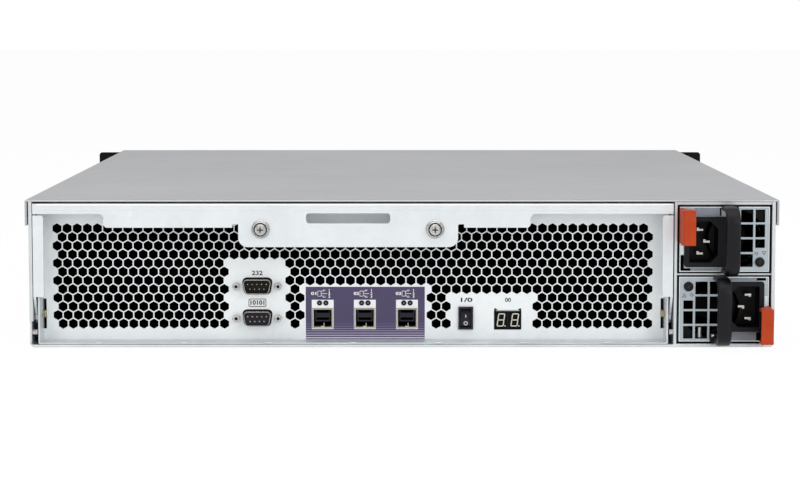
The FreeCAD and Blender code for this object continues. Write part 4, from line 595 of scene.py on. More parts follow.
def host_outline(left, grow):
    """Outline of a host port, grown by an amount."""
    return oblong(left - grow, left + HOST_WIDE + grow, host_low[2] - grow, host_high[2] + grow)


# ---------------------------------------------------------------- honeycomb face

CELL_PITCH, ROW_RISE = 6.033 * MM, 5.205 * MM
CELL_HALF = 2.67 * MM
CELL_CORNER = CELL_HALF / math.cos(math.radians(30))
FIRST_CELL_X, FIRST_ROW_Z = -205.8 * MM, 69.05 * MM
ROW_COUNT, COLUMN_COUNT = 12, 59

# Solid parts of the sheet: first and last row, then first and last column in odd and in even rows.
SOLID_BLOCKS = (
    (1, 2, (19, 38), (18, 38)),  # behind the middle tab of the bail
    (5, 12, (17, 22), (17, 22)),  # round the serial ports
    (8, 12, (25, 36), (24, 36)),  # round the host ports and their label
    (9, 12, (39, 47), (39, 46)),  # round the display and the switch
)


def cell_is_open(row, column):
    """False where the sheet stays solid."""
    for first_row, last_row, odd, even in SOLID_BLOCKS:
        first, last = odd if row % 2 else even
        if first_row <= row <= last_row and first <= column <= last:
            return False
    return True


def comb_cells():
    """Centres of the open cells, in staggered rows from the top."""
    for row in range(1, ROW_COUNT + 1):
        offset = 0 if row % 2 else CELL_PITCH / 2
        for column in range(COLUMN_COUNT):
            if cell_is_open(row, column):
                yield FIRST_CELL_X + offset + column * CELL_PITCH, FIRST_ROW_Z - (row - 1) * ROW_RISE


def make_face():
    """The perforated plate with every cell, port opening and side notch."""
    notch_low, notch_high, notch_wide = 9.0 * MM, 27.0 * MM, 1.8 * MM
    shell_gap, host_gap, display_gap, switch_lap = 0.15 * MM, 0.2 * MM, 0.1 * MM, 0.7 * MM
    left, right = face_low[0], face_high[0]
    low, high = face_low[2], face_high[2]
    outlines = [
        [
            (left, low),
            (right, low),
            (right, notch_low),
            (right - notch_wide, notch_low),
            (right - notch_wide, notch_high),
            (right, notch_high),
            (right, high),
            (left, high),
            (left, notch_high),
            (left + notch_wide, notch_high),
            (left + notch_wide, notch_low),
            (left, notch_low),
        ]
    ]
    outlines += [disc(x, z, CELL_CORNER, 6, math.radians(30)) for x, z in comb_cells()]
    outlines += [d_outline(z, -shell_gap, 2.8 * MM) for z in SERIAL_Z]
    outlines += [host_outline(x, host_gap) for x in HOST_LEFT]
    outlines += [outline_of(DISPLAY, display_gap), outline_of(SWITCH_BOX, -switch_lap)]
    sheet = pierced_sheet(outlines, FACE_REAR, FACE_THICK)
    face = finish_piece("honeycomb_face", sheet, FACE_STEEL, "canister")
    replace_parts(face, "canister_face")


def make_baffle():
    """Flat black sheet behind the cells: painted shade that makes the inside read dark."""
    margin, room, stand_off, sheet_thick = 2 * MM, 1.0 * MM, 1.2 * MM, 0.6 * MM
    windows = [d_outline(z, -1.2 * MM, 3.0 * MM) for z in SERIAL_Z]
    windows += [host_outline(x, room) for x in HOST_LEFT]
    windows += [disc(x, z, 1.7 * MM, 12) for x, z in LIGHT_SPOTS]
    windows += [outline_of(DISPLAY, room), outline_of(SWITCH_BOX, room)]
    edge = outline_of((face_low, face_high), -margin)
    mesh = pierced_sheet([edge, *windows], FACE_FRONT + stand_off, sheet_thick)
    finish_piece("painted_shade_sheet", mesh, FLAT_SHADE, "canister")


make_face()
make_baffle()


# ---------------------------------------------------------------- serial ports


def contact_spots(z):
    """Nine contacts of a serial port: five above, four below."""
    pitch, row_half = 2.77 * MM, 1.42 * MM
    for count, lift in ((5, 1), (4, -1)):
        for number in range(count):
            yield SERIAL_X + (number - (count - 1) / 2) * pitch, z + lift * row_half


def make_serial_ports():
    """A nine-way plug above and a nine-way socket below, each in a rounded nickel shell."""
    gap, rim, lip, shell_deep = 0.75 * MM, 1.05 * MM, 6.0 * MM, 6.5 * MM
    insulator = FACE_REAR - 0.8 * MM, FACE_REAR + 4 * MM
    pin_radius, pin_long = 0.27 * MM, 4.6 * MM
    hole_radius, clip_radius, clip_drop = 0.62 * MM, 0.34 * MM, 0.15 * MM
    shells, cores, contacts = [], [], []
    for z in SERIAL_Z:
        inside = d_outline(z, rim, 1.9 * MM)
        shells.append(pierced_sheet([d_outline(z, gap, 2.3 * MM), inside], FACE_REAR - lip, shell_deep))
        cores.append(prism(inside, *insulator))
    for x, z in contact_spots(PLUG_Z):
        contacts.append(prism(disc(x, z, pin_radius, 12), FACE_REAR - pin_long, FACE_REAR))
    holes = [disc(x, z, hole_radius, 12) for x, z in contact_spots(SOCKET_Z)]
    core = d_outline(SOCKET_Z, 1.5 * MM, 1.5 * MM)
    socket = pierced_sheet([core, *holes], FACE_REAR - lip + 0.5 * MM, 5.0 * MM)
    for x, z in contact_spots(SOCKET_Z):
        contacts.append(prism(disc(x, z - clip_drop, clip_radius, 10), FACE_REAR - lip + 1.4 * MM, FACE_REAR))
    block = prism(outline_of((serial_low, serial_high)), FACE_FRONT + 0.2 * MM, serial_high[1])
    shell = finish_piece("serial_shells", joined(*shells), NICKEL, "canister")
    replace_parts(shell, "serial_ports")
    finish_piece("serial_cores", joined(*cores), NYLON, "canister")
    finish_piece("serial_socket_core", socket, SOCKET_CORE, "canister")
    finish_piece("serial_contacts", joined(*contacts), GOLD, "canister")
    finish_piece("serial_block", block, NYLON, "canister")


def make_serial_print():
    """Plain figures above the plug and in a round-cornered frame between the ports."""
    frame_z, half_wide, half_tall, line = 24.4 * MM, 5.3 * MM, 2.45 * MM, 0.42 * MM

    def ring(inset, radius):
        wide, tall = half_wide - inset, half_tall - inset
        return rounded(SERIAL_X - wide, SERIAL_X + wide, frame_z - tall, frame_z + tall, radius)

    marks = [
        numerals("232", SERIAL_X, 42.2 * MM, 2.6 * MM, FACE_REAR, 6.4 * MM, 0.09 * MM),
        pierced_sheet([ring(0, 0.9 * MM), ring(line, 0.7 * MM)], FACE_REAR - INK, INK),
        numerals("10101", SERIAL_X, frame_z, 2.7 * MM, FACE_REAR, 8.4 * MM, 0.13 * MM),
    ]
    finish_piece("serial_print", joined(*marks), DARK_INK, "canister")


make_serial_ports()
make_serial_print()


# ---------------------------------------------------------------- host ports and their label

LABEL_LEFT, LABEL_RIGHT = -57.6 * MM, 13.6 * MM
LABEL_LOW, LABEL_HIGH = 2.6 * MM, 34.0 * MM
WINDOW_MARGIN = 0.6 * MM
WINDOW_TOP = 26.2 * MM
WINDOW_LOW = host_low[2] - 0.8 * MM
WINDOW_SPANS = [(left - WINDOW_MARGIN, left + HOST_WIDE + WINDOW_MARGIN) for left in HOST_LEFT]


def make_label():
    """Purple label with a bare window round each port and pale stripes that brighten downward."""
    top_stripe, stripe_pitch = 11.7 * MM, 1.39 * MM
    edge = oblong(LABEL_LEFT, LABEL_RIGHT, LABEL_LOW, LABEL_HIGH)
    windows = [oblong(left, right, WINDOW_LOW, WINDOW_TOP) for left, right in WINDOW_SPANS]
    finish_piece("port_label", pierced_sheet([edge, *windows], FACE_REAR - INK, INK), PURPLE, "canister")
    edges = [LABEL_LEFT, *(x for span in WINDOW_SPANS for x in span), LABEL_RIGHT]
    for number, shade in enumerate(LILACS):
        z = top_stripe - number * stripe_pitch
        half = (0.12 + 0.035 * number) * MM
        beside_windows = z - half > WINDOW_LOW
        spans = list(zip(edges[::2], edges[1::2])) if beside_windows else [(LABEL_LEFT, LABEL_RIGHT)]
        bars = [
            prism(oblong(left, right, z - half, z + half), FACE_REAR - 1.5 * INK, FACE_REAR - INK)
            for left, right in spans
        ]
        finish_piece(f"label_stripe_{number + 1}", joined(*bars), shade, "canister")


def make_port_symbols():
    """White mark above each port: its number, a box with three branches, and a column of small figures."""
    front, line, z = FACE_REAR - INK, 0.26 * MM, 29.9 * MM
    box_wide, box_half, branch_long = 2.0 * MM, 1.55 * MM, 2.6 * MM
    marks = []
    for number, left in enumerate(HOST_LEFT):
        start = left + 3.0 * MM
        hub = start + box_wide
        tip = hub + branch_long
        corners = oblong(start, hub, z - box_half, z + box_half)
        box = [corners[0], corners[3], corners[2], corners[1], corners[0]]
        branches = [[(hub, z), (tip + 0.8 * MM, z)]]
        for side in (1, -1):
            knee = (hub + 1.5 * MM, z + side * 2.3 * MM)
            branches.append([(hub, z + side * 0.7 * MM), knee, (tip, z + side * 2.0 * MM)])
            branches.append([knee, (hub + 1.7 * MM, z + side * 1.3 * MM)])
        marks.append(strokes([box, *branches], line, front))
        marks.append(numerals(f"0{number + 1}", left + 0.9 * MM, z, 1.8 * MM, front, 3.2 * MM, 0.07 * MM))
        for step, figure in enumerate("321"):
            up = z + (step - 1) * 1.9 * MM
            marks.append(numerals(figure, left + 9.9 * MM, up, 1.5 * MM, front, None, 0.07 * MM))
    finish_piece("port_symbols", joined(*marks), WHITE_INK, "canister")


def make_host_ports():
    """Tinned cages with a moulded insert that has two slots, a grounding tab below it, and a flat black back
    deep in each cage as painted shade.
    """
    skin, lip, slot_tall, insert_deep = 0.55 * MM, 0.6 * MM, 1.5 * MM, 7 * MM
    front, back = FACE_REAR - lip, host_high[1]
    low, high = host_low[2], host_high[2]
    cages, inserts, tabs, back_shades = [], [], [], []
    for left in HOST_LEFT:
        right = left + HOST_WIDE
        inside = host_outline(left, -skin)
        cages.append(pierced_sheet([host_outline(left, 0), inside], front, back - front))
        # Flat black back 9 mm in: painted shade inside the cage.
        back_shades.append(prism(inside, FACE_REAR + 9 * MM, back))
        body = rounded(left + 1.35 * MM, right - 1.35 * MM, low + 3.7 * MM, high - 1.0 * MM, 0.4 * MM)
        slots = [
            rounded(left + 2.1 * MM, right - 2.1 * MM, low + up, low + up + slot_tall, 0.5 * MM)
            for up in (4.6 * MM, 8.9 * MM)
        ]
        inserts.append(pierced_sheet([body, *slots], FACE_REAR + MM, insert_deep))
        middle, step = (left + right) / 2, low + 1.1 * MM
        tabs.append(prism(oblong(middle - 1.1 * MM, middle + 1.1 * MM, low + skin, step), front, back))
        stem = oblong(middle + 0.5 * MM, middle + 0.9 * MM, step, low + 2.8 * MM)
        tabs.append(prism(stem, FACE_REAR + MM, back))
    cage = finish_piece("host_cages", joined(*cages), CAGE_TIN, "canister")
    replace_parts(cage, "host_ports")
    finish_piece("host_inserts", joined(*inserts), INSERT, "canister")
    finish_piece("host_tabs", joined(*tabs), CAGE_TIN, "canister")
    finish_piece("host_back_shade", joined(*back_shades), FLAT_SHADE, "canister")


def make_lights():
    """Two dark round light windows above each port, each with a clear dimple in its middle, coloured pale grey
    partly as a painted highlight.
    """
    outer, bore, lens = 1.55 * MM, 0.55 * MM, 0.54 * MM
    collars, lenses = [], []
    for x, z in LIGHT_SPOTS:
        rims = [disc(x, z, outer), disc(x, z, bore, 12)]
        collars.append(pierced_sheet(rims, FACE_REAR - 0.5 * MM, 6.0 * MM))
        lenses.append(prism(disc(x, z, lens, 12), FACE_REAR - 0.35 * MM, FACE_REAR + 5.5 * MM))
    collar = finish_piece("light_collars", joined(*collars), NYLON, "canister")
    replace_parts(collar, "port_lights")
    finish_piece("light_lenses", joined(*lenses), TIP_HIGHLIGHT, "canister")


make_label()
make_port_symbols()
make_host_ports()
make_lights()


# ---------------------------------------------------------------- display and switch


def segment_digit(x, z, wide, tall, width, lean):
    """Seven bars of a slanted figure eight, leaving small gaps between the bars."""
    gap = width * 0.62

    def at(across, up):
        return x + across + math.tan(lean) * up, z + up

    half, rise = wide / 2, tall / 2
    lines = []
    for up in (-rise, 0, rise):
        lines.append([at(-half + gap, up), at(half - gap, up)])
    for across in (-half, half):
        lines.append([at(across, gap), at(across, rise - gap)])
        lines.append([at(across, -rise + gap), at(across, -gap)])
    return lines


def make_display():
    """Two unlit digits printed behind a smoked front, under a pale edge strip."""
    low, high = DISPLAY
    front, top, film = low[1], high[2], 0.05 * MM
    lean = math.radians(8)
    digit_z, digit_wide, digit_tall = 14.05 * MM, 3.6 * MM, 7.3 * MM
    bar_room, bar_wide = 0.66 * MM, 0.62 * MM
    point_right, point_z, point_radius = 2.45 * MM, 10.45 * MM, 0.42 * MM
    digits = []
    for x in (59.2 * MM, 67.5 * MM):
        lines = segment_digit(x, digit_z, digit_wide, digit_tall, bar_room, lean)
        digits.append(strokes(lines, bar_wide, front, film))
        digits.append(prism(disc(x + point_right, point_z, point_radius, 12), front - film, front))
    finish_piece("display_digits", joined(*digits), SEGMENT, "canister")
    strip = oblong(low[0] + MM, high[0] - MM, top - 0.35 * MM, top + 0.05 * MM)
    finish_piece("display_edge", prism(strip, front - 0.08 * MM, front), EDGE_STRIP, "canister")
    middle = middle_of(DISPLAY)[0]
    seam = strokes([[(middle, low[2]), (middle, top)]], 0.12 * MM, front)
    finish_piece("display_seam", seam, SEAM, "canister")
    base = top + 0.1 * MM
    clips = []
    for x, side in ((low[0], 1), (high[0], -1)):
        shape = [
            (x, base),
            (x + side * 2.0 * MM, base),
            (x + side * 0.9 * MM, base + 1.2 * MM),
            (x, base + 1.0 * MM),
        ]
        clips.append(prism(shape, FACE_REAR - INK, FACE_REAR))
    finish_piece("display_clips", joined(*clips), DARK_INK, "canister")
    figures = numerals("00", 63.4 * MM, 26.0 * MM, 2.5 * MM, FACE_REAR, 3.6 * MM, 0.08 * MM)
    finish_piece("display_print", figures, DARK_INK, "canister")


def make_switch_marks():
    """A stroke on the rocker's raised half, a ring on its lower half, and plain figures above the switch."""
    x, middle = middle_of(ROCKER)
    pivot, film, steps = -248.0 * MM, 0.05 * MM, 20
    ridge = (-2.4 * MM, -0.8 * MM)
    upper = ridge, (-4.6 * MM, 2.8 * MM)
    lower = (-1.9 * MM, -4.9 * MM), ridge

    def on_face(points, foot, head):
        """Lays flat marks on the slanted face between two (depth, height) points of the rocker's profile."""
        rings = []
        for lift in (film, 0.0):
            ring = []
            for across, up in points:
                share = (up - foot[1]) / (head[1] - foot[1])
                depth = foot[0] + (head[0] - foot[0]) * share
                ring.append((x + across, pivot + depth - lift, middle + up))
            rings.append(ring)
        return lofted(rings)

    marks = [on_face(oblong(-0.22 * MM, 0.22 * MM, 0.5 * MM, 2.2 * MM), *upper)]
    outer, inner = (disc(0, -3.1 * MM, radius, steps) for radius in (1.2 * MM, 0.82 * MM))
    for i in range(steps):
        j = (i + 1) % steps
        marks.append(on_face([outer[i], outer[j], inner[j], inner[i]], *lower))
    finish_piece("rocker_marks", joined(*marks), WHITE_INK, "rocker")
    figures = numerals("1/0", 38.1 * MM, 26.0 * MM, 2.5 * MM, FACE_REAR, 7.0 * MM, 0.09 * MM)
    finish_piece("switch_print", figures, DARK_INK, "canister")


make_display()
make_switch_marks()


# ---------------------------------------------------------------- screws, jacks and pivots


def cross_outline(x, z, reach, arm):
    """Outline of a cross recess with slightly tapered arms."""
    points = []
    for quarter in range(4):
        turn = math.radians(90 * quarter)
        for across, along in ((arm, arm), (arm * 0.8, reach), (-arm * 0.8, reach)):
            px = x + across * math.cos(turn) - along * math.sin(turn)
            pz = z + across * math.sin(turn) + along * math.cos(turn)
            points.append((px, pz))
    return points


def make_captive_screws():
    """Pan heads with a cross recess, each in a domed sleeve on the bail."""
    recess_deep, head_tall, shank_radius, bore = 1.1 * MM, 3.4 * MM, 1.9 * MM, 3.5 * MM
    dome = [(4.1, 3.5), (4.6, 3.0), (4.9, 0.9), (5.5, 0.3), (5.6, 0.0)]
    for side in ("left", "right"):
        node, body = f"captive_screw_{side}", f"screw_{side}"
        low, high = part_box(node)
        x, z = middle_of((low, high))
        front, radius = low[1], (high[0] - low[0]) / 2
        flat, neck = front + recess_deep, front + head_tall
        cut = [disc(x, z, radius * 0.9, 32), cross_outline(x, z, 1.75 * MM, 0.42 * MM)]
        profile = [(0, flat), (radius * 0.9, flat), (radius, flat + 0.3 * MM), (radius, neck)]
        profile += [(shank_radius, neck), (shank_radius, high[1]), (0, high[1])]
        head = joined(pierced_sheet(cut, front, recess_deep), turned(x, z, profile, 32))
        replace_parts(finish_piece(f"{node}_head", head, ZINC, body), node)
        # Dark plate at the bottom of the cross recess: painted shade.
        floor = prism(cross_outline(x, z, 1.7 * MM, 0.4 * MM), flat - 0.15 * MM, flat)
        finish_piece(f"{node}_recess", floor, RECESS_SHADE, body)
        profile = [(out * MM, HANDLE_PLANE - lift * MM) for out, lift in dome]
        profile = [(bore, profile[0][1]), *profile, (bore, HANDLE_PLANE)]
        finish_piece(f"{node}_sleeve", turned(x, z, profile, 32), ZINC, "handle")


def make_jacks():
    """Hexagonal jacks with threaded bores beside the serial ports, each bore darkened by a disc of painted
    shade, and round posts behind the bail.
    """
    jack_long, corner, bore, chamfer = 4.6 * MM, 2.45 * MM, 0.75 * MM, 0.5 * MM
    tip = FACE_REAR - jack_long
    profile = [(bore, tip + chamfer), (bore + 0.3 * MM, tip), (1.9 * MM, tip), (2.1 * MM, tip + chamfer)]
    jacks, bore_shades = [], []
    for z in SERIAL_Z:
        for x in (SERIAL_X - JACK_HALF, SERIAL_X + JACK_HALF):
            cut = [disc(x, z, corner, 6, math.radians(10)), disc(x, z, bore, 16)]
            jacks.append(pierced_sheet(cut, tip + chamfer, jack_long))
            jacks.append(turned(x, z, profile, 16))
            # Dark disc in each bore: painted shade.
            bore_shades.append(prism(disc(x, z, bore, 16), FACE_REAR - 1.6 * MM, FACE_REAR))
    inner, outer, front = 2.3 * MM, 3.2 * MM, -264.9 * MM
    profile = [(inner, front), (outer, front), (outer, FACE_REAR), (inner, FACE_REAR)]
    for node in ("captive_screw_left", "captive_screw_right"):
        jacks.append(turned(*middle_of(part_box(node)), profile))
    jack = finish_piece("jacks", joined(*jacks), ZINC, "canister")
    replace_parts(jack, "jackscrews")
    finish_piece("jack_bore_shade", joined(*bore_shades), RECESS_SHADE, "canister")


def make_pivot_bushes():
    """Brass bushes of the bail's pivots, which show in the side notches of the face."""
    height = (pin_low[2] + pin_high[2]) / 2
    near, far = 0.1 * MM, 1.7 * MM
    left, right = face_low[0], face_high[0]
    for side, start, end in (("left", left + near, left + far), ("right", right - far, right - near)):
        bush = bead(start, end, FACE_REAR - 2.6 * MM, height, 2.3 * MM, 16)
        finish_piece(f"pivot_bush_{side}", bush, BRASS, "canister")


make_captive_screws()
make_jacks()
make_pivot_bushes()


# ---------------------------------------------------------------- folds and dimples of the sheet metal


def make_bail_folds():
    """Rolled top edge of the bail, coloured near white as a painted highlight, and the soft crease below it.
    """
    corner, roll = 2.2 * MM, 0.45 * MM
    left, right = bail_low[0] + corner, bail_high[0] - corner
    edge = bead(left, right, HANDLE_PLANE, bail_high[2] - 0.7 * MM, roll)
    crease = bead(left, right, HANDLE_PLANE + 0.12 * MM, 81.4 * MM, 0.25 * MM)
    finish_piece("bail_rolled_edge", edge, FOLD_HIGHLIGHT, "handle")
    finish_piece("bail_crease", crease, HANDLE_STEEL, "handle")


def make_tray_folds():
    """Folds coloured pale as painted highlights: the hem of the tray floor, and the rear edge and joint of the
    covers.
    """
    half = 219.4 * MM
    hem = bead(-half, half, -267.0 * MM, 0.95 * MM, 0.5 * MM)
    finish_piece("tray_floor_hem", hem, FOLD_HIGHLIGHT, "chassis")
    low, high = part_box("top_cover_rear")
    lip = bead(low[0] + MM, high[0] - MM, low[1] + 0.45 * MM, high[2] - 0.5 * MM, 0.5 * MM)
    finish_piece("cover_rear_fold", lip, COVER_EDGE_HIGHLIGHT, "chassis")
    left, right = low[0] + 1.5 * MM, high[0] - 1.5 * MM
    seam = bead(left, right, high[1] - 0.25 * MM, high[2] - 0.22 * MM, 0.24 * MM)
    finish_piece("cover_joint_edge", seam, COVER_EDGE_HIGHLIGHT, "chassis")


def make_floor_dimples():
    """Half-sheared dimples along the rear edge of the canister floor, which space it off the tray."""
    first, pitch, count, height = -179.6 * MM, 50.2 * MM, 7, tray_low[2] + 0.75 * MM
    profile = [(0, -0.55 * MM), (1.3 * MM, -0.4 * MM), (2.1 * MM, 0), (0, 0)]
    squash = Matrix.Diagonal((1.1, 1, 0.32, 1))
    dimples = []
    for number in range(count):
        dimple = turned(0, 0, profile, 16)
        dimple.transform(Matrix.Translation((first + pitch * number, tray_low[1], height)) @ squash)
        dimples.append(dimple)
    finish_piece("floor_dimples", joined(*dimples), HANDLE_STEEL, "canister")


make_bail_folds()
make_tray_folds()
make_floor_dimples()


# ---------------------------------------------------------------- power supplies

SUPPLY_REAR = -266.5 * MM
SUPPLY_WIDE, SUPPLY_HIGH = 54.5, 40.0
GRIP_REAR = -290.5 * MM

# Corners of the mains socket's mouth, then the middles of its three blades.
MOUTH = ((31.2, 13.75), (35.7, 9.25), (48.2, 9.25), (48.2, 33.75), (35.7, 33.75), (31.2, 29.25))
BLADES = ((37.7, 21.5), (41.7, 14.5), (41.7, 28.5))

# Small plates and slots beside the inlet: start, end, low and high; the slots are flat black plates of painted
# shade.
PLATES = {
    "psu_lower": (
        ("slate", SLATE, ((31.0, 46.6, 37.0, 38.8), (31.0, 46.6, 1.3, 6.2))),
        ("slot", GAP_SHADE, ((46.6, 52.0, 37.0, 38.8), (46.6, 49.6, 1.3, 6.2))),
        ("pale", PALE_SHEET_EDGE_HIGHLIGHT, ((51.2, 53.3, 18.6, 27.7),)),
    ),
    "psu_upper": (
        ("slate", SLATE, ((30.2, 45.2, 1.3, 6.2), (30.2, 47.2, 37.2, 38.6))),
        ("slot", GAP_SHADE, ((29.3, 30.2, 1.3, 6.2), (47.2, 53.2, 37.2, 38.8), (51.1, 53.2, 29.4, 37.2))),
        ("pale", PALE_SHEET_EDGE_HIGHLIGHT, ((51.1, 53.2, 23.8, 29.0),)),
    ),
}


class Supply:
    """One supply's rear panel, as a grid in millimetres from the corner beside its status light."""

    def __init__(self, name, left, low, turned_round):
        self.name, self.left, self.low, self.turned_round = name, left, low, turned_round

    def spot(self, across, up):
        """Place (x, z) of a grid place; the upper unit is turned half round."""
        if self.turned_round:
            across, up = SUPPLY_WIDE - across, SUPPLY_HIGH - up
        return self.left + across * MM, self.low + up * MM

    def outline(self, points):
        return [self.spot(across, up) for across, up in points]

    def oblong(self, start, end, low, high):
        return self.outline(oblong(start, end, low, high))

    def add(self, kind, mesh, material, slot=None):
        return finish_piece(f"{self.name}_{kind}", mesh, material, self.name)


SUPPLIES = (
    Supply("psu_lower", 163.0 * MM, 2.5 * MM, False),
    Supply("psu_upper", 163.0 * MM, 44.0 * MM, True),
)


def strap(x, half_wide, path, steps=4):
    """Sweeps a rounded section along a (depth, height, thickness) path that stands in the YZ plane."""
    corner, fullest = 1.5 * MM, 0.48
    rings = []
    for i, (depth, height, thick) in enumerate(path):
        before, after = path[max(i - 1, 0)], path[min(i + 1, len(path) - 1)]
        out_z, out_y = Vector((after[0] - before[0], before[1] - after[1])).normalized()
        section = rounded(-half_wide, half_wide, -thick / 2, thick / 2, min(corner, thick * fullest), steps)
        rings.append([(x + across, depth + out_y * out, height + out_z * out) for across, out in section])
    return lofted(rings)


def grip_path(low):
    """Centreline of the D-shaped grip, thin at its feet and thicker along its bar."""
    foot, bar, bend, steps = 3.2 * MM, 4.8 * MM, 8.0 * MM, 10
    near, far = SUPPLY_REAR, GRIP_REAR + bar / 2
    bottom, top = low + foot / 2, low + SUPPLY_HIGH * MM - foot / 2
    path = [(near, bottom, foot), (far + bend, bottom, foot)]
    for step in range(1, steps):
        share = step / steps
        angle = math.radians(90 * share)
        thick = foot + (bar - foot) * share
        path.append((far + bend - bend * math.sin(angle), bottom + bend - bend * math.cos(angle), thick))
    half = path + [(far, bottom + bend, bar), (far, (bottom + top) / 2, bar)]
    return half + [(depth, bottom + top - height, thick) for depth, height, thick in half[-2::-1]]


def make_grips():
    """The D-shaped grip of each supply, with a riveted ear at its foot."""
    half_wide, ear_thick = 4.2 * MM, 1.4 * MM
    rivet_profile = ((0, 1.1), (0.7, 0.9), (1.1, 0.2), (1.1, 0), (0, 0))
    for supply in SUPPLIES:
        bow = strap(supply.spot(25.0, 0)[0], half_wide, grip_path(supply.low))
        grip = supply.add("grip_bow", bow, NYLON, "grip_black")
        for polygon in grip.data.polygons:
            polygon.use_smooth = True
        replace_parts(grip, f"{supply.name}_grip")
        ear = supply.outline(rounded(19.0, 23.4, 0.3, 5.7, 1.4))
        supply.add("grip_ear", prism(ear, SUPPLY_REAR - ear_thick, SUPPLY_REAR), NYLON)
        profile = [(radius * MM, SUPPLY_REAR - ear_thick - out * MM) for radius, out in rivet_profile]
        supply.add("grip_rivet", turned(*supply.spot(20.7, 4.4), profile, 14), ZINC)


def make_supply_trim():
    """Painted shade in the gap and a painted highlight along the edge round each rear panel, with the plates
    and slots beside the inlet; the slots are flat black plates of painted shade.
    """
    gap, rim, plate_thick, gap_shade_thick, rim_thick = 0.75, 0.55, 0.15 * MM, 0.1 * MM, 0.3 * MM
    for supply in SUPPLIES:
        for kind, material, plates in PLATES[supply.name]:
            parts = [prism(supply.oblong(*plate), SUPPLY_REAR - plate_thick, SUPPLY_REAR) for plate in plates]
            supply.add(f"{kind}_plates", joined(*parts), material)
        edges = []
        for inset in (0, gap, gap + rim):
            edges.append(supply.oblong(inset, SUPPLY_WIDE - inset, inset, SUPPLY_HIGH - inset))
        supply.add("gasket", pierced_sheet(edges[:2], SUPPLY_REAR - gap_shade_thick, gap_shade_thick), GAP_SHADE)
        # Paler strip inside the gap: painted highlight along the panel's edge.
        supply.add("pale_sheet_and_painted_edge_highlight", pierced_sheet(edges[1:], SUPPLY_REAR - rim_thick, rim_thick), PALE_SHEET_EDGE_HIGHLIGHT)


def make_supply_lights():
    """Dark bezel with an unlit lamp, and two pictograms printed below it: a triangle and a shining lamp."""
    bezel = ((0, 1.75), (1.5, 1.75), (2.4, 1.55), (2.85, 0.9), (2.85, 0), (0, 0))
    lamp = ((0, 2.1), (0.6, 2.0), (0.95, 1.7), (0, 1.7))
    triangle = ((2.6, 27.2), (5.0, 27.2), (3.8, 29.3), (2.6, 27.2))
    stroke = ((3.8, 27.8), (3.8, 28.3))
    for supply in SUPPLIES:
        for kind, form, steps, material in (
            ("lamp_bezel", bezel, 28, NYLON),
            ("lamp", lamp, 16, LAMP_LENS),
        ):
            profile = [(radius * MM, SUPPLY_REAR - out * MM) for radius, out in form]
            supply.add(kind, turned(*supply.spot(6.3, 33.5), profile, steps), material)
        x, z = supply.spot(8.3, 28.2)
        rays = []
        for turn in range(5):
            angle = math.radians(45 * turn + (180 if supply.turned_round else 0))
            away = Vector((math.cos(angle), math.sin(angle)))
            rays.append([Vector((x, z)) + away * reach for reach in (0.95 * MM, 1.3 * MM)])
        marks = [
            strokes([supply.outline(triangle), supply.outline(stroke)], 0.24 * MM, SUPPLY_REAR),
            pierced_sheet([disc(x, z, radius * MM, 16) for radius in (0.75, 0.5)], SUPPLY_REAR - INK, INK),
            strokes(rays, 0.22 * MM, SUPPLY_REAR),
        ]
        supply.add("pictograms", joined(*marks), DARK_INK)


def make_inlets():
    """Mains inlet: a round-cornered flange, a deep socket with two cut corners, and three nickel blades."""
    flange_thick, socket_deep, floor_thick = 1.6 * MM, 15.5 * MM, 1.5 * MM
    blade_half, blade_thin, heel_half, heel_left = 1.9, 0.6, 1.3, 0.5
    bottom = SUPPLY_REAR + socket_deep
    for supply in SUPPLIES:
        edge = supply.outline(rounded(24.8, 51.0, 6.6, 36.4, 1.6))
        mouth = round_corners(supply.outline(MOUTH), 0.8 * MM)
        tube = supply.oblong(28.5, 50.0, 7.6, 35.4)
        parts = [
            pierced_sheet([edge, mouth], SUPPLY_REAR - flange_thick, flange_thick),
            pierced_sheet([tube, mouth], SUPPLY_REAR, socket_deep),
            prism(tube, bottom, bottom + floor_thick),
        ]
        inlet = supply.add("socket", joined(*parts), NYLON, "grip_black")
        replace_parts(inlet, f"{supply.name}_inlet")
        blades = []
        for across, up in BLADES:
            right, low = across + blade_half, up - blade_thin
            blade = supply.oblong(across - blade_half, right, low, up + blade_thin)
            heel = supply.oblong(across + heel_left, right, up - heel_half, low)
            blades.append(prism(blade, SUPPLY_REAR + 1.2 * MM, bottom))
            blades.append(prism(heel, SUPPLY_REAR + 1.6 * MM, bottom))
        supply.add("inlet_blades", joined(*blades), NICKEL)


def standoff(x, z):
    """Bright upright post behind the grille."""
    half, radius, depth = 3.0 * MM, 1.4 * MM, SUPPLY_REAR + 2.6 * MM
    post = bead(-half, half, 0, 0, radius, 12)
    post.transform(Matrix.Translation((x, depth, z)) @ Matrix.Rotation(math.radians(90), 4, "Y"))
    return post


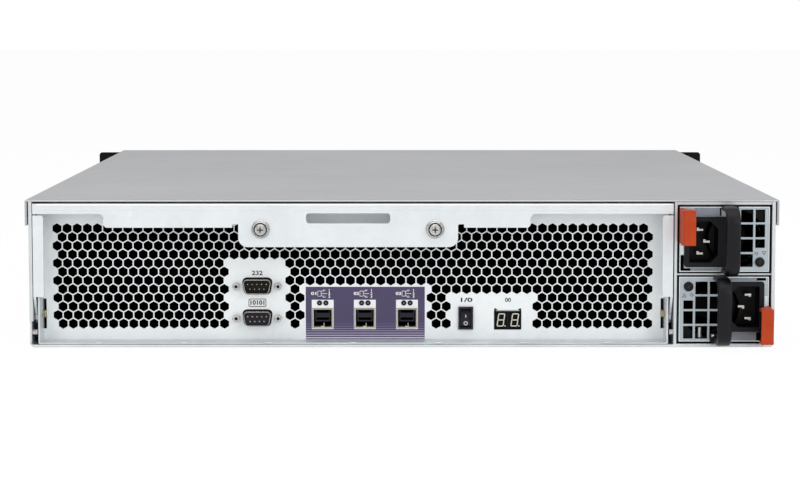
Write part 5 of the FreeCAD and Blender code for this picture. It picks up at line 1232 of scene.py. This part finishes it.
def make_fan_housings():
    """Black fan housing behind each grille, a tunnel and a disc behind the rotor in flat black as painted
    shade, and the lower unit's post.
    """
    bore, skin, grid_end = 16.9, 0.5, 26.0
    plate_front, plate_thick = SUPPLY_REAR + 2.5 * MM, 2.0 * MM
    tunnel_end, shade_front, shade_back = -244.6 * MM, -222.2 * MM, -221.9 * MM
    for supply in SUPPLIES:
        x, z = supply.spot(19.5, 20.0)
        opening = supply.outline([(min(across, grid_end), up) for across, up in disc(19.5, 20.0, bore, 48)])
        edge = supply.oblong(1.8, 26.5, 1.8, 38.2)
        supply.add("fan_housing", pierced_sheet([edge, opening], plate_front, plate_thick), FAN)
        # Dead-black disc and tunnel behind the rotor: painted shade.
        supply.add("fan_shade_disc", prism(disc(x, z, 17.0 * MM, 32), shade_front, shade_back), FLAT_SHADE)
        near = plate_front + plate_thick
        inner, outer = bore * MM, (bore + skin) * MM
        profile = [(inner, near), (outer, near), (outer, tunnel_end), (inner, tunnel_end)]
        supply.add("fan_tunnel", turned(x, z, profile, 40), FLAT_SHADE)
        if not supply.turned_round:
            supply.add("standoff", standoff(*supply.spot(13.4, 6.0)), ZINC)


make_grips()
make_supply_trim()
make_supply_lights()
make_inlets()
make_fan_housings()


# ---------------------------------------------------------------- drive carriers

BAY_COUNT = 12


def make_carrier_trim(number):
    """Louvres in a bezel's vents, two light pipes, the bay's plain number, and a blank label on its lever."""
    vent_gap, vent_wide, vent_pitch, vent_lap = 3.2 * MM, 5.5 * MM, 8.5 * MM, 0.1 * MM
    slat_pitch, slat_half = 3.2 * MM, 0.55 * MM
    body, lever = f"carrier_{number:02d}", f"lever_{number:02d}"
    carrier_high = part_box(f"drive_{body}")[1]
    lever_low, lever_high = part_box(f"drive_{lever}")
    front, middle = carrier_high[1], (lever_low[2] + lever_high[2]) / 2
    louvres = []
    for column in range(2):
        left = lever_high[0] + vent_gap + column * vent_pitch
        for step in range(-2, 3):
            z = middle + step * slat_pitch
            slat = oblong(left - vent_lap, left + vent_wide + vent_lap, z - slat_half, z + slat_half)
            louvres.append(prism(slat, front - 5.0 * MM, front - 0.5 * MM))
    finish_piece(f"{body}_louvres", joined(*louvres), BEZEL, body)
    x = carrier_high[0] - 5.4 * MM
    dome = [(0, 0.25), (0.7, 0.2), (1.1, -0.1), (0, -0.1)]
    profile = [(radius * MM, front + out * MM) for radius, out in dome]
    for name, lift, material in (("activity", 4.6 * MM, LIGHT_GREEN), ("fault", 0.6 * MM, LIGHT_AMBER)):
        finish_piece(f"{body}_{name}_light", turned(x, middle + lift, profile, 16), material, body)
    figure = numerals(str(number), 0, 0, 3.2 * MM, 0, None, 0.06 * MM)
    turn = Matrix.Rotation(math.pi, 4, "Z")
    figure.transform(Matrix.Translation((x, front, middle - 5.0 * MM)) @ turn)
    finish_piece(f"{body}_number", figure, BEZEL_INK, body)
    left, half = lever_low[0] + 9 * MM, 4.6 * MM
    label = rounded(left, left + 38 * MM, middle - half, middle + half, 0.8 * MM)
    plate = prism(label, lever_high[1] - 0.05 * MM, lever_high[1] + 0.12 * MM)
    finish_piece(f"{lever}_label", plate, LABEL_STOCK, lever)


for bay in range(BAY_COUNT):
    make_carrier_trim(bay)


# ---------------------------------------------------------------- rack ears


def make_slot_clips():
    """Black clip nuts behind the rack slots of both ears, each with a blind threaded barrel."""
    slot_half_wide, slot_half_tall, ear_thick = 465.1 / 2 * MM, 38.1 * MM, 2.0 * MM
    clip_half_wide, clip_half_tall, clip_thick, barrel = 6.8 * MM, 6.0 * MM, 1.4 * MM, 3.4 * MM
    collar, bore, inside = 3.3 * MM, 2.4 * MM, 0.2 * MM
    middle = (cad_box[0][2] + cad_box[1][2]) / 2
    for side, sign in (("left", -1), ("right", 1)):
        ear_low, ear_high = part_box(f"rack_ear_{side}")
        x, rear = sign * slot_half_wide, ear_high[1] - ear_thick
        clips = []
        for z in (middle - slot_half_tall, middle + slot_half_tall):
            low = max(z - clip_half_tall, ear_low[2] + inside)
            high = min(z + clip_half_tall, ear_high[2] - inside)
            plate = rounded(x - clip_half_wide, x + clip_half_wide, low, high, 1.0 * MM)
            clips.append(prism(plate, rear - clip_thick, rear))
            clips.append(prism(disc(x, (low + high) / 2, barrel, 20), rear - 5.0 * MM, rear - clip_thick))
            clips.append(pierced_sheet([disc(x, z, collar, 20), disc(x, z, bore, 20)], rear, 1.2 * MM))
        finish_piece(f"slot_clips_{side}", joined(*clips), EAR, "chassis")


make_slot_clips()


# ---------------------------------------------------------------- lights, floor, camera


def make_floor():
    """Plain white floor that keeps a soft trace of the object's shadow."""
    half, drop, glow_share = 12.0, 0.0004, 0.95
    corners = [(x, y, -drop) for x, y in oblong(-half, half, -half, half)]
    mesh = bpy.data.meshes.new("floor")
    mesh.from_pydata(corners, [], [range(4)])
    floor = bpy.data.objects.new("floor", mesh)
    bpy.context.scene.collection.objects.link(floor)
    material = bpy.data.materials.new("studio_white")
    material.use_nodes = True
    tree = material.node_tree
    tree.nodes.clear()
    path = add_node(tree, "ShaderNodeLightPath")
    rays = {0: path.outputs["Is Camera Ray"], 1: path.outputs["Is Glossy Ray"]}
    seen = add_node(tree, "ShaderNodeMath", {"operation": "MAXIMUM"}, rays)
    share = add_node(tree, "ShaderNodeMath", {"operation": "MULTIPLY"}, {0: seen.outputs[0]})
    share.inputs[1].default_value = glow_share
    matt = add_node(tree, "ShaderNodeBsdfDiffuse", Color=srgb("#FFFFFF"))
    glow = add_node(tree, "ShaderNodeEmission", Color=(1, 1, 1, 1), Strength=1.0)
    layers = {0: share.outputs[0], 1: matt.outputs[0], 2: glow.outputs[0]}
    mix = add_node(tree, "ShaderNodeMixShader", None, layers)
    add_node(tree, "ShaderNodeOutputMaterial", None, {"Surface": mix.outputs[0]})
    floor.data.materials.append(material)


def make_world():
    """White surroundings: full white to the camera and in clear pieces, dimmer as a light source."""
    world = bpy.data.worlds.new("studio")
    bpy.context.scene.world = world
    world.use_nodes = True
    tree = world.node_tree
    tree.nodes.clear()
    path = add_node(tree, "ShaderNodeLightPath")
    rays = {0: path.outputs["Is Camera Ray"], 1: path.outputs["Is Transmission Ray"]}
    seen = add_node(tree, "ShaderNodeMath", {"operation": "MAXIMUM"}, rays)
    strength = add_node(tree, "ShaderNodeMapRange", None, {"Value": seen.outputs[0]}, To_Min=0.62, To_Max=1.0)
    links = {"Strength": strength.outputs["Result"]}
    glow = add_node(tree, "ShaderNodeBackground", None, links, Color=(1, 1, 1, 1))
    add_node(tree, "ShaderNodeOutputWorld", None, {"Surface": glow.outputs[0]})


def make_lamp(name, spot, aim, size, power):
    """Soft rectangular lamp turned towards a place."""
    lamp = bpy.data.lights.new(name, "AREA")
    lamp.shape = "RECTANGLE"
    lamp.size, lamp.size_y = size
    lamp.energy = power
    holder = bpy.data.objects.new(name, lamp)
    holder.location = spot
    holder.rotation_euler = (Vector(aim) - Vector(spot)).to_track_quat("-Z", "Y").to_euler()
    bpy.context.scene.collection.objects.link(holder)


def make_camera():
    """Long lens straight behind the enclosure and a little above it."""
    camera = bpy.data.cameras.new("camera")
    camera.sensor_width = 36
    camera.lens = 111.15
    camera.clip_end = 60
    holder = bpy.data.objects.new("camera", camera)
    holder.location = (-4.8 * MM, -1717.5 * MM, 196.4 * MM)
    holder.rotation_euler = Euler((math.radians(90 - 5.46), 0.0, math.radians(-0.14)))
    bpy.context.scene.collection.objects.link(holder)
    bpy.context.scene.camera = holder


FACE_MIDDLE = (0, -0.25, 0.04)
make_floor()
make_world()
make_lamp("overhead", (0.0, -0.6, 1.8), (0, -0.1, 0), (2.4, 1.6), 16)
make_lamp("front_left", (-1.4, -2.0, 1.0), FACE_MIDDLE, (1.2, 1.2), 10)
make_lamp("front_right", (1.4, -2.0, 1.0), FACE_MIDDLE, (1.2, 1.2), 14)
make_camera()

bpy.context.scene.view_settings.view_transform = "Standard"
bpy.context.view_layer.update()
